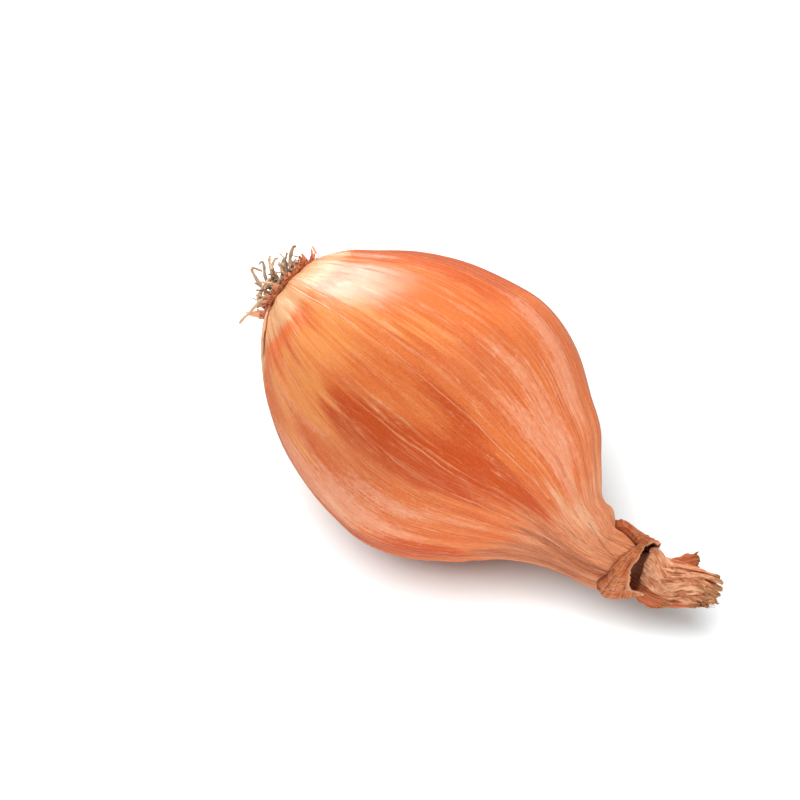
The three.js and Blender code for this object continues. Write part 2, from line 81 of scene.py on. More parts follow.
CUFF = [
    # angle in degrees, where it leaves the neck, where its rim ends, bulge, how far the rim stands out
    [-180, 93, 98.6, 0.2, -1.2], [-140, 91, 99.6, 0.2, -1.2], [-100, 89.2, 101, 0.2, -1.2],
    [-65, 88.8, 101.4, 0.3, -1.5], [-42, 89.4, 101.4, 0.4, -1.1], [-27, 92.2, 100.9, 0.6, -0.4],
    [-17, 96.2, 99.6, 0.4, -0.2], [-10, 97.3, 98.9, 0.2, -0.3], [4, 96.3, 98.6, 0.4, -0.2],
    [22, 94.8, 98.2, 0.6, -0.2], [44, 93.6, 97.7, 0.8, -0.3], [66, 92.8, 98.1, 0.9, -0.4],
    [82, 91.6, 98.5, 0.7, -0.9], [94, 91.7, 100.9, 0.3, -1.5], [102, 91.9, 100.8, 0.1, -1.7],
    [112, 92.2, 98.8, 0, -1.5], [145, 93, 98.4, 0, -1.5], [180, 93, 98.6, 0.2, -1.2],
]
TAIL_START = 89
TAIL_END = 113.5
TAIL_FOLDS = 9
TAIL = [
    # distance along the axis, half width, half thickness, how far off the spine
    [89, 4.4, 4.4, 0], [94.5, 4, 4, 0], [98, 3.2, 2.9, 0.4], [100.3, 4.3, 3.8, 0.6], [102, 4.3, 4, 0.1],
    [104.6, 4.1, 3.9, -0.5], [108, 3.5, 3.6, -0.5], [111, 3.1, 3.1, -0.1], [113.5, 2.7, 2.6, 0],
]
TAIL_TWIST = math.radians(70)
PLATE_RADIUS = 6.85

# Curves and noise


def along(stations, at, column=1):
    """A smooth curve through stations [position, value, ...], for an array of positions."""
    table = np.array([[row[0], row[column]] for row in stations], float)
    x = table[:, 0]
    y = table[:, 1]
    slope = np.empty_like(y)
    slope[1:-1] = (y[2:] - y[:-2]) / (x[2:] - x[:-2])
    slope[0] = (y[1] - y[0]) / (x[1] - x[0])
    slope[-1] = (y[-1] - y[-2]) / (x[-1] - x[-2])
    at = np.clip(at, x[0], x[-1])
    i = np.clip(np.searchsorted(x, at) - 1, 0, len(x) - 2)
    step = x[i + 1] - x[i]
    t = (at - x[i]) / step
    return (
        (2 * t**3 - 3 * t**2 + 1) * y[i]
        + (t**3 - 2 * t**2 + t) * step * slope[i]
        + (3 * t**2 - 2 * t**3) * y[i + 1]
        + (t**3 - t**2) * step * slope[i + 1]
    )


def smooth(value, low, high):
    """0 below low, 1 above high and an S-shaped step between."""
    t = np.clip((value - low) / (high - low), 0, 1)
    return t * t * (3 - 2 * t)


def wrap(angle):
    """An angle brought to within half a turn of the top of the onion."""
    return (angle + np.pi) % TURN - np.pi


def bump(angle, middle, width):
    """A bump round the axis, 1 at its middle and 0 past its width, both in degrees."""
    away = np.abs(wrap(angle - math.radians(middle)))
    return smooth(1 - away / math.radians(width), 0, 1)


def noise(x, y, seed, period=64):
    """Smooth noise from -1 to 1 on a lattice, the same again after a period in y."""
    size = 64
    table = np.random.default_rng(seed).uniform(-1, 1, (size, period))
    x0 = np.floor(x).astype(int)
    y0 = np.floor(y).astype(int)
    tx = smooth(x - x0, 0, 1)
    ty = smooth(y - y0, 0, 1)
    corner = lambda a, b: table[(x0 + a) % size, (y0 + b) % period]
    near = corner(0, 0) * (1 - tx) + corner(1, 0) * tx
    far = corner(0, 1) * (1 - tx) + corner(1, 1) * tx
    return near * (1 - ty) + far * ty


def round_noise(s, angle, length, count, seed):
    """Noise on the skin, with lumps of a length along the axis and a count of them round it."""
    return noise(s / length + 20, (angle % TURN) * count / TURN, seed, count)


def rim_noise(angle, count, seed):
    """Noise that changes only round the axis."""
    return round_noise(angle * 0, angle, 1, count, seed)


# The spine

AXIS = np.array([math.cos(TILT), 0, -math.sin(TILT)])
NEAR = np.array([0.0, -1.0, 0.0])
TOP = np.cross(NEAR, AXIS)
OUTSIDE = TOP * math.cos(BEND_TOWARDS) + NEAR * math.sin(BEND_TOWARDS)
FRONT = np.cross(AXIS, OUTSIDE)
SPINE_STEP = 0.5


def find_root_end():
    """The root end's place, from where the round bulb would touch the floor."""
    s = np.arange(0, NECK_MOUTH + 0.001, 0.1)
    r = along(BULB, s)
    drop = s * math.sin(TILT) + r * math.cos(TILT)
    lowest = drop.argmax()
    reach = s[lowest] * math.cos(TILT) - r[lowest] * math.sin(TILT)
    return np.array([-reach, 0, drop[lowest] - FLAT_DEPTH])


ROOT_END = find_root_end()


def find_spine():
    middle = np.arange(SPINE_STEP / 2, TAIL_END + 14, SPINE_STEP)
    turn = np.radians(along(BEND, middle))[:, None]
    steps = SPINE_STEP * (np.cos(turn) * AXIS + np.sin(turn) * OUTSIDE)
    return np.vstack([ROOT_END, ROOT_END + np.cumsum(steps, 0)])


SPINE = find_spine()


def place(s, angle, radius):
    """Points at a distance along the spine, an angle round it and a distance from it."""
    s, angle, radius = np.broadcast_arrays(s, angle, radius)
    s = s.astype(float)
    at = np.clip(s, 0, None) / SPINE_STEP
    number = np.arange(len(SPINE))
    centre = np.stack([np.interp(at, number, SPINE[:, i]) for i in range(3)], -1)
    centre = centre + np.minimum(s, 0)[..., None] * AXIS
    turn = np.radians(along(BEND, s))[..., None]
    outside = np.cos(turn) * OUTSIDE - np.sin(turn) * AXIS
    round_angle = (angle - BEND_TOWARDS)[..., None]
    return centre + radius[..., None] * (np.cos(round_angle) * outside + np.sin(round_angle) * FRONT)


# Meshes


def show(name, data):
    thing = bpy.data.objects.new(name, data)
    bpy.context.scene.collection.objects.link(thing)
    return thing


class Shape:
    """Vertices, faces and named values of the closed forms that make one piece."""

    def __init__(self):
        self.points = []
        self.faces = []
        self.values = {}
        self.count = 0

    def add(self, points, faces, **values):
        """Adds a form. Each value is a number, or an array with one number or vector for each point."""
        points = np.asarray(points, float).reshape(-1, 3)
        for name, value in values.items():
            value = np.asarray(value, float)
            width = 3 if value.size == 3 * len(points) else 1
            spread = np.broadcast_to(value.reshape(-1, width), (len(points), width))
            self.values.setdefault(name, []).append(spread)
        self.points.append(points)
        self.faces.extend((np.asarray(f) + self.count).tolist() for f in faces)
        self.count += len(points)

    def make(self, name, material, node):
        mesh = bpy.data.meshes.new(name)
        points = np.concatenate(self.points) * MILLIMETRE
        mesh.from_pydata(points.tolist(), [], self.faces)
        for label, parts in self.values.items():
            data = np.concatenate(parts).astype(np.float32)
            vector = data.shape[1] == 3
            layer = mesh.attributes.new(label, "FLOAT_VECTOR" if vector else "FLOAT", "POINT")
            layer.data.foreach_set("vector" if vector else "value", data.ravel())
        mesh.polygons.foreach_set("use_smooth", np.ones(len(mesh.polygons), bool))
        mesh.materials.append(material)
        mesh.update()
        piece = show(name, mesh)
        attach(piece, "root")
        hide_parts(node)
        return piece


def widen(values, columns):
    """A row of values turned into a grid, one value for each of its rows."""
    return np.repeat(np.array(values, float)[:, None], columns, 1)


def strip_grid(rows, columns):
    """The share of the way along a strip, and the place across it from -0.5 to 0.5."""
    share = widen(np.linspace(0, 1, rows), columns)
    return share, share * 0 + np.linspace(-0.5, 0.5, columns)


def round_axis(grid):
    """The angles of a grid's columns, once round the axis."""
    columns = grid.shape[1]
    return np.broadcast_to(TURN * np.arange(columns) / columns, grid.shape)


def vectors(x, y, z):
    return np.stack(np.broadcast_arrays(x, y, z), -1)


def rolled(radius, angle, s):
    """Vectors that lay a texture round the axis without a seam."""
    return vectors(radius * np.cos(angle), radius * np.sin(angle), s)


def grid_faces(rows, columns, closed=False):
    """The four-sided faces of a grid of points, joined round into a tube if closed."""
    across = columns if closed else columns - 1
    i, j = np.meshgrid(np.arange(rows - 1), np.arange(across), indexing="ij")
    k = (j + 1) % columns
    quads = np.stack([i * columns + j, i * columns + k, (i + 1) * columns + k, (i + 1) * columns + j], -1)
    return quads.reshape(-1, 4)


def capped_faces(rows, columns, closed=True):
    """The faces of a tube, with a flat face at each end."""
    ends = [np.arange(columns)[::-1], np.arange(columns) + (rows - 1) * columns]
    return list(grid_faces(rows, columns, closed)) + ends


def ring_faces(rows, columns):
    """The faces of a tube whose last row joins its first."""
    first = np.arange(columns)
    last = first + (rows - 1) * columns
    closing = np.stack([last, np.roll(last, -1), np.roll(first, -1), first], -1)
    return np.concatenate([grid_faces(rows, columns, True), closing])


def grid_normals(points):
    down = np.gradient(points, axis=0)
    across = np.gradient(points, axis=1)
    normal = np.cross(down, across)
    return normal / np.maximum(np.linalg.norm(normal, axis=-1, keepdims=True), 1e-9)


def closed_sheet(points, thickness):
    """A sheet of a grid of points and a copy of it a thickness behind, joined along their edges."""
    rows, columns = points.shape[:2]
    back = points - grid_normals(points) * np.broadcast_to(thickness, (rows, columns))[..., None]
    both = np.concatenate([points.reshape(-1, 3), back.reshape(-1, 3)])
    face = grid_faces(rows, columns)
    number = np.arange(rows * columns).reshape(rows, columns)
    rim = np.concatenate([number[0, :-1], number[:-1, -1], number[-1, :0:-1], number[:0:-1, 0]])
    after = np.roll(rim, -1)
    size = rows * columns
    side = np.stack([rim, rim + size, after + size, after], -1)
    return both, np.concatenate([face, face[:, ::-1] + size, side])


def add_sheet(shape, points, thickness, skin, **values):
    """Adds a closed sheet, with the same values on both its sides."""
    both = lambda value: value if np.ndim(value) == 0 else np.concatenate([value, value])
    points, faces = closed_sheet(points, thickness)
    values = {name: both(value) for name, value in values.items()}
    shape.add(points, faces, skin=both(skin), **values)


def tube(path, radii, sides, squash):
    """A closed tube round a path, with a radius at each of its points."""
    heading = np.gradient(path, axis=0)
    heading /= np.linalg.norm(heading, axis=1, keepdims=True)
    side = np.cross(heading[0], [0.3, 0.5, 0.8])
    angle = (np.arange(sides) * 2 * np.pi / sides)[:, None]
    rings = []
    for point, forward, radius in zip(path, heading, radii):
        side = side - forward * (side @ forward)
        side /= np.linalg.norm(side)
        other = np.cross(forward, side)
        rings.append(point + radius * np.cos(angle) * side + radius * squash * np.sin(angle) * other)
    return np.concatenate(rings), capped_faces(len(path), sides)


def curve_through(rows, steps):
    """A smooth path through rows of any length, as an array of steps + 1 rows."""
    rows = np.asarray(rows, float)
    number = np.arange(len(rows))
    at = np.linspace(0, len(rows) - 1, steps + 1)
    return np.stack([along(np.stack([number, column], 1), at) for column in rows.T], -1)


# Materials


def colour(red, green, blue):
    """A colour given as it looks on a screen, 0 to 255, as Blender's linear values."""
    values = np.array([red, green, blue]) / 255
    linear = np.where(values <= 0.04045, values / 12.92, ((values + 0.055) / 1.055) ** 2.4)
    return (*linear, 1.0)


class Finish:
    """A material, its base colour so far and short ways to add its nodes."""

    def __init__(self, name):
        self.material = bpy.data.materials.new(name)
        self.material.use_nodes = True
        self.tree = self.material.node_tree
        self.shader = self.tree.nodes["Principled BSDF"]
        self.base = None

    def put(self, socket, value):
        if isinstance(value, bpy.types.NodeSocket):
            self.tree.links.new(value, socket)
        else:
            socket.default_value = value

    def set(self, name, value):
        self.put(self.shader.inputs[name], value)

    def close(self, rough, specular, normal):
        """Sets the shader and returns the material."""
        self.set("Base Color", self.base)
        self.set("Roughness", rough)
        self.set("Specular IOR Level", specular)
        self.set("Normal", normal)
        return self.material

    def add(self, kind, inputs, **settings):
        """Adds a node with its inputs and settings, and returns its outputs."""
        node = self.tree.nodes.new("ShaderNode" + kind)
        for name, setting in settings.items():
            setattr(node, name, setting)
        for name, value in inputs.items():
            self.put(node.inputs[name], value)
        return node.outputs

    def value(self, name):
        return self.add("Attribute", {}, attribute_name=name)["Fac"]

    def vector(self, name, x=1, y=1, z=1):
        vector = self.add("Attribute", {}, attribute_name=name)["Vector"]
        return self.add("VectorMath", {0: vector, 1: (x, y, z)}, operation="MULTIPLY")[0]

    def split(self, name):
        """The three parts of a named vector."""
        return self.add("SeparateXYZ", {0: self.vector(name)})

    def math(self, operation, *values):
        return self.add("Math", dict(enumerate(values)), operation=operation)[0]

    def times(self, value, *others):
        for other in others:
            value = self.math("MULTIPLY", value, other)
        return value

    def less(self, a, b):
        return self.math("SUBTRACT", a, b)

    def scaled(self, value, size, start):
        """A value times a size, on top of a start."""
        return self.math("MULTIPLY_ADD", value, size, start)

    def step(self, value, low, high):
        """0 at low, 1 at high, with a smooth step between."""
        inputs = {"Value": value, "From Min": low, "From Max": high}
        return self.add("MapRange", inputs, interpolation_type="SMOOTHSTEP")["Result"]

    def noise(self, vector, scale, detail, rough):
        inputs = {"Vector": vector, "Scale": scale, "Detail": detail, "Roughness": rough}
        return self.add("TexNoise", inputs)["Fac"]

    def grain(self, length, scale, detail, rough, across=1):
        """Noise on the skin. The smaller the length, the longer its streaks from root to neck."""
        return self.noise(self.vector("skin", across, across, length), scale, detail, rough)

    def random(self, value):
        return self.add("TexWhiteNoise", {"W": value}, noise_dimensions="1D")["Value"]

    def mix(self, share, *paints):
        """A mix of two paints. Each is a node's output or a colour as it looks on a screen."""
        under, over = (colour(*paint) if isinstance(paint, tuple) else paint for paint in paints)
        return self.add("Mix", {0: share, 6: under, 7: over}, data_type="RGBA")[2]

    def coat(self, share, paint):
        """Lays a paint over the base colour so far."""
        self.base = self.mix(share, self.base, paint)

    def stain(self, mask, low, high, strength, paint):
        """Lays a paint where a mask is past low, the most where it reaches high."""
        self.coat(self.times(self.step(mask, low, high), strength), paint)

    def raise_by(self, height, distance, **normal):
        """Bumps of a height from 0 to 1, at most a distance in millimetres high."""
        inputs = {"Height": height, "Distance": distance * MILLIMETRE, "Strength": 1.0, **normal}
        return self.add("Bump", inputs)["Normal"]


# The bulb

RIB_SHIFT = [[3, 0.1, 1], [5, 0.06, 2]]
VEIN_COUNT = 32
PLEAT_COUNT = 38
PUCKER_COUNT = 30
SKIN_SCALE = 32  # the skin vector's radius, near the bulb's own


def rib_angle(angle):
    return angle + sum(size * np.sin(times * angle + start) for times, size, start in RIB_SHIFT)


def relief(s, angle):
    """How far the skin stands out of the plain turned form, as in the frame."""
    ends = np.maximum(
        along([[0, 1], [12, 0.5], [30, 0]], s), along([[60, 0], [78, 0.6], [90, 1]], s)
    )
    height = RIB_BELLY + (RIB_ENDS - RIB_BELLY) * np.clip(ends, 0, 1)
    rib = height * np.cos(RIB_COUNT * rib_angle(angle))
    swell = np.sin(np.pi * np.clip(s / 90, 0, 1))
    lumps = 0.25 * np.cos(2 * angle + 0.6) + 0.15 * np.cos(3 * angle - 0.05 * s)
    return rib + swell * lumps + along(OFF_CENTRE, s) * np.cos(angle - BEND_TOWARDS)


def bulb_radius(s, angle):
    return along(BULB, s) + relief(s, angle)


def vein_turn(s, angle):
    """A coordinate that grows by one from each vein to the next, round the onion."""
    turn = (angle % TURN) / TURN
    uneven = 0.35 * np.sin(5 * angle + 0.4) + 0.3 * np.sin(9 * angle + 2.1) + 0.22 * np.sin(14 * angle)
    wander = 0.10 * round_noise(s, angle, 17, 24, 5) + 0.05 * round_noise(s, angle, 6, 40, 6)
    return VEIN_COUNT * turn + uneven + wander


def skin_detail(s, angle):
    """The finer relief of the skin: flat strips between the veins, dents, pleats at the neck."""
    envelope = smooth(s, 0, 8) * (1 - smooth(s, 84, 95)) * (1 - 0.55 * smooth(s, 62, 80))
    turn = vein_turn(s, angle)
    strip = np.floor(turn).astype(int)
    share = turn - strip
    heights = lambda k: noise(s / 13 + 7.3 * (k % VEIN_COUNT), (k % VEIN_COUNT), 11)
    facets = heights(strip) * (1 - share) + heights(strip + 1) * share
    dents = 0.16 * round_noise(s, angle, 15, 12, 12) + 0.07 * round_noise(s, angle, 7, 30, 13)
    round_turn = angle / TURN
    pleat_turn = PLEAT_COUNT * round_turn + 0.5 * round_noise(s, angle, 18, 14, 14)
    pleats = np.abs(np.sin(np.pi * pleat_turn)) - 0.6
    gather = smooth(s, 58, 86) * (0.75 + 0.5 * round_noise(s, angle, 9, 26, 15))
    pucker_turn = PUCKER_COUNT * round_turn + 0.8 * round_noise(s, angle, 9, 18, 16)
    puckers = 0.7 - np.abs(np.sin(np.pi * pucker_turn))
    puckered = smooth(s, 1, 4) * (1 - smooth(s, 7, 15)) * (0.7 + 0.5 * round_noise(s, angle, 7, 20, 17))
    flat_strips = 0.085 * (1 + 0.7 * (1 - smooth(s, 16, 40))) * facets
    return envelope * (flat_strips + dents) + 0.04 * gather * pleats - 0.16 * puckered * puckers


EDGE_ANGLE = math.radians(-13)  # the outer skin ends at this angle, near the root end
BARE_END = math.radians(-62)


def bare_strip(s, angle):
    """Where the outermost skin has come away, from 0 to 1."""
    edge = EDGE_ANGLE + 0.03 * np.sin(0.5 * s) - np.radians(14) * (1 - smooth(s, 5, 9))
    far_edge = BARE_END + 0.05 * np.sin(0.31 * s)
    away = wrap(angle)
    inside = smooth(edge - away, 0, 0.03) * smooth(away - far_edge, 0, 0.05)
    return inside * smooth(s, 5, 7) * (1 - smooth(s, 30, 52))


def patches(s, angle, rows):
    """Soft patches on the skin, each 1 times its strength at its middle and 0 past its widths."""
    total = 0
    for s_middle, angle_middle, s_width, angle_width, strength in rows:
        away = np.abs(wrap(angle - math.radians(angle_middle)))
        distance = np.hypot((s - s_middle) / s_width, away / math.radians(angle_width))
        total = total + strength * smooth(1 - distance, 0, 1)
    return np.clip(total, 0, 1)


# Patches of each tone: along the axis, round it, half length, half angle, strength
DEEP_PATCHES = [
    [43, 58, 22, 14, 1.4], [34, 60, 15, 10, 0.8], [56, 46, 26, 17, 1.3], [67, 46, 16, 11, 1.0],
    [50, 32, 18, 8, 0.8], [56, 60, 16, 9, 0.7], [63, 106, 16, 20, 1.2], [50, 116, 14, 14, 0.7],
    [33, -44, 22, 18, 1.1], [24, -40, 12, 14, 0.7], [40, 140, 20, 26, 0.8], [60, 180, 24, 30, 0.8],
    [36, 230, 20, 24, 0.8], [58, 270, 22, 22, 0.8], [30, -90, 16, 22, 0.8],
]
# Whitish haze on the skin; the patches on the lower side, about 94 to 108 degrees round, also paint the
# sheen of the floor's reflection there
HAZE_AND_SHEEN_PATCHES = [
    [42, 94, 26, 17, 1.1], [30, 106, 20, 17, 1.2], [24, 78, 12, 12, 0.5], [50, 78, 18, 8, 0.6],
    [41, 108, 12, 8, 0.6], [62, 0, 22, 14, 1.0], [58, 15, 16, 9, 0.9], [54, -24, 20, 12, 1.0],
    [68, -18, 16, 18, 0.7], [70, 10, 16, 16, 0.9], [60, 74, 14, 9, 0.5], [36, -2, 10, 6, 0.35],
    [48, 5, 10, 5, 0.5], [30, 180, 22, 26, 0.8], [56, 220, 24, 26, 0.8], [40, 300, 22, 30, 0.8],
    [70, 150, 18, 30, 0.7],
]
AMBER_PATCHES = [
    [18, 60, 14, 34, 1.1], [13, 30, 12, 30, 0.9], [24, 25, 14, 14, 1.0], [31, 14, 12, 10, 0.7],
    [22, 88, 13, 22, 0.9], [14, -18, 10, 14, 0.8], [24, -16, 12, 9, 0.5], [27, 66, 13, 14, 0.7],
    [18, 150, 14, 40, 0.9], [16, 240, 14, 50, 0.9], [14, 300, 14, 30, 0.9],
]
# Pale skin; the patches on the top near the root end, 7.5 to 29 mm along the axis, also paint a highlight
# in streaks
PALE_AND_HIGHLIGHT_PATCHES = [
    [14, 11, 7, 3, 0.8], [19, 16, 7, 2.5, 0.8], [18, 25, 8, 2, 0.8], [20, 29, 9, 2.2, 0.8],
    [17, 34, 7, 2, 0.8], [13, 28, 6, 2.5, 0.6], [10, -3, 6, 3, 0.6], [7.5, 13, 3, 8, 0.8],
    [15, 0, 8, 3, 0.6], [25, 21, 9, 2.5, 0.6], [29, 6, 8, 3.5, 0.6], [78, 11, 11, 13, 1.0],
    [84, 3, 7, 10, 0.8], [70, 1, 9, 4, 0.7], [82, 24, 9, 10, 0.9], [54, 12, 10, 3.5, 0.6],
    [62, -28, 10, 5, 0.6], [33, 84, 9, 4, 0.6], [42, 103, 14, 7, 0.8], [27, 97, 8, 5, 0.6],
    [48, 92, 9, 4, 0.5],
]
BROWN_PATCHES = [
    [88, 70, 14, 34, 1.0], [84, 105, 16, 30, 1.1], [76, 96, 12, 22, 0.6], [92, 10, 6, 40, 0.5],
    [90, -60, 14, 50, 0.8], [88, 180, 16, 60, 0.8], [76, 46, 12, 14, 0.5], [82, 62, 14, 20, 0.7],
]
# Raised pale lines and dark cracks, as points along the axis and round it
PALE_LINES = [
    [[39, 21], [47, 22], [54, 26], [61, 28], [68, 30], [75, 31]],
    [[44, 2], [52, 4], [60, 5], [66, 4]],
]
CRACKS = [
    [[67, 13], [70, 11.5], [74, 11]],
    [[84, 10], [88, 14], [90, 20], [93, 30]],
    [[80, 62], [86, 64], [92, 60]],
]
LINE_REACH = 1.5
# The hollows for the root plate and in the neck, as points along the axis and from it
SOCKET = [[1.4, 0.4], [1.2, 4.5], [0.9, SOCKET_RADIUS], [0.25, SOCKET_RADIUS], [0.1, 8.2]]
MOUTH = [
    [NECK_MOUTH + 0.1, 5.8], [NECK_MOUTH, MOUTH_RADIUS], [NECK_MOUTH - 6, MOUTH_RADIUS],
    [NECK_MOUTH - MOUTH_DEPTH, 0.4],
]


def near_lines(s, angle, radius, lines):
    """How near each place on the skin is to a set of lines, 1 on a line and 0 at their reach."""
    across = wrap(angle) * radius
    nearest = np.full(s.shape, 1e3)
    for line in lines:
        for (s0, a0), (s1, a1) in zip(line[:-1], line[1:]):
            x0, x1 = math.radians(a0) * radius, math.radians(a1) * radius
            run, rise = s1 - s0, x1 - x0
            share = np.clip(((s - s0) * run + (across - x0) * rise) / (run * run + rise * rise), 0, 1)
            nearest = np.minimum(nearest, np.hypot(s - s0 - share * run, across - x0 - share * rise))
    return np.clip(1 - nearest / LINE_REACH, 0, 1)


def skin_masks(s, angle, radius):
    """How much of each tone, band, mark and crack there is at each place on the skin."""
    frayed = s + 5 * rim_noise(angle, 60, 18) + 3.5 * rim_noise(angle, 150, 19)
    deep, haze_and_sheen, amber, pale_and_highlight, brown = (
        patches(frayed, angle, rows)
        for rows in (DEEP_PATCHES, HAZE_AND_SHEEN_PATCHES, AMBER_PATCHES, PALE_AND_HIGHLIGHT_PATCHES, BROWN_PATCHES)
    )
    ring_s = 8.2 + 0.5 * np.sin(3 * angle) + 0.4 * round_noise(s, angle, 400, 22, 21)
    ring_s = ring_s + 0.6 + 3.5 * smooth(bump(angle, 135, 62), 0.05, 0.8)
    ring_share = np.clip(1.3 * bump(angle, 75, 60) + 0.5 * bump(angle, 210, 68.7549), 0, 1)
    ring = smooth(1 - np.abs(s - ring_s) / 3.2, 0, 1) * ring_share
    cream = (1 - smooth(s, ring_s - 4.5, ring_s + 1.5)) * (1 - 0.75 * bump(angle, -45, 34))
    brown = np.clip(brown + 0.5 * (1 - smooth(s, 1, 4.5)) * bump(angle, 40, 60), 0, 1)
    return {
        "tone": vectors(deep, haze_and_sheen, amber),
        "band": vectors(cream, ring, bare_strip(s, angle)),
        "mark": vectors(pale_and_highlight, brown, near_lines(s, angle, radius, PALE_LINES)),
        "crack": near_lines(s, angle, radius, CRACKS),
    }


def bulb_piece():
    columns = 380
    rows = 244
    t = np.linspace(0, 1, rows)
    s_skin = NECK_MOUTH * (t - 0.4 * np.sin(TURN * t) / TURN)
    start = len(SOCKET)
    s = widen([*(row[0] for row in SOCKET), *s_skin, *(row[0] for row in MOUTH)], columns)
    angle = np.broadcast_to(np.pi + TURN * np.arange(columns) / (columns - 1), s.shape)
    radius = bulb_radius(s, angle) + skin_detail(s, angle) - 0.16 * bare_strip(s, angle)
    radius[:start] = np.array(SOCKET)[:, 1:]
    radius[start + rows :] = np.array(MOUTH)[:, 1:]
    points = place(s, angle, radius)
    points[..., 2] = np.maximum(points[..., 2], 0)

    # The far quarter is counted down by one round, so that the count runs on across the top
    turn = vein_turn(s, angle - 1e-7)
    turn[:, : columns // 2] -= VEIN_COUNT * (turn[:, : columns // 2] > VEIN_COUNT * 0.75)
    shape = Shape()
    shape.add(
        points, capped_faces(len(s), columns, False), skin=rolled(SKIN_SCALE, angle, s), vein=turn,
        girth=TURN * radius / VEIN_COUNT, **skin_masks(s, angle, radius),
    )
    return shape.make("onion_skin", skin_finish(), "bulb")


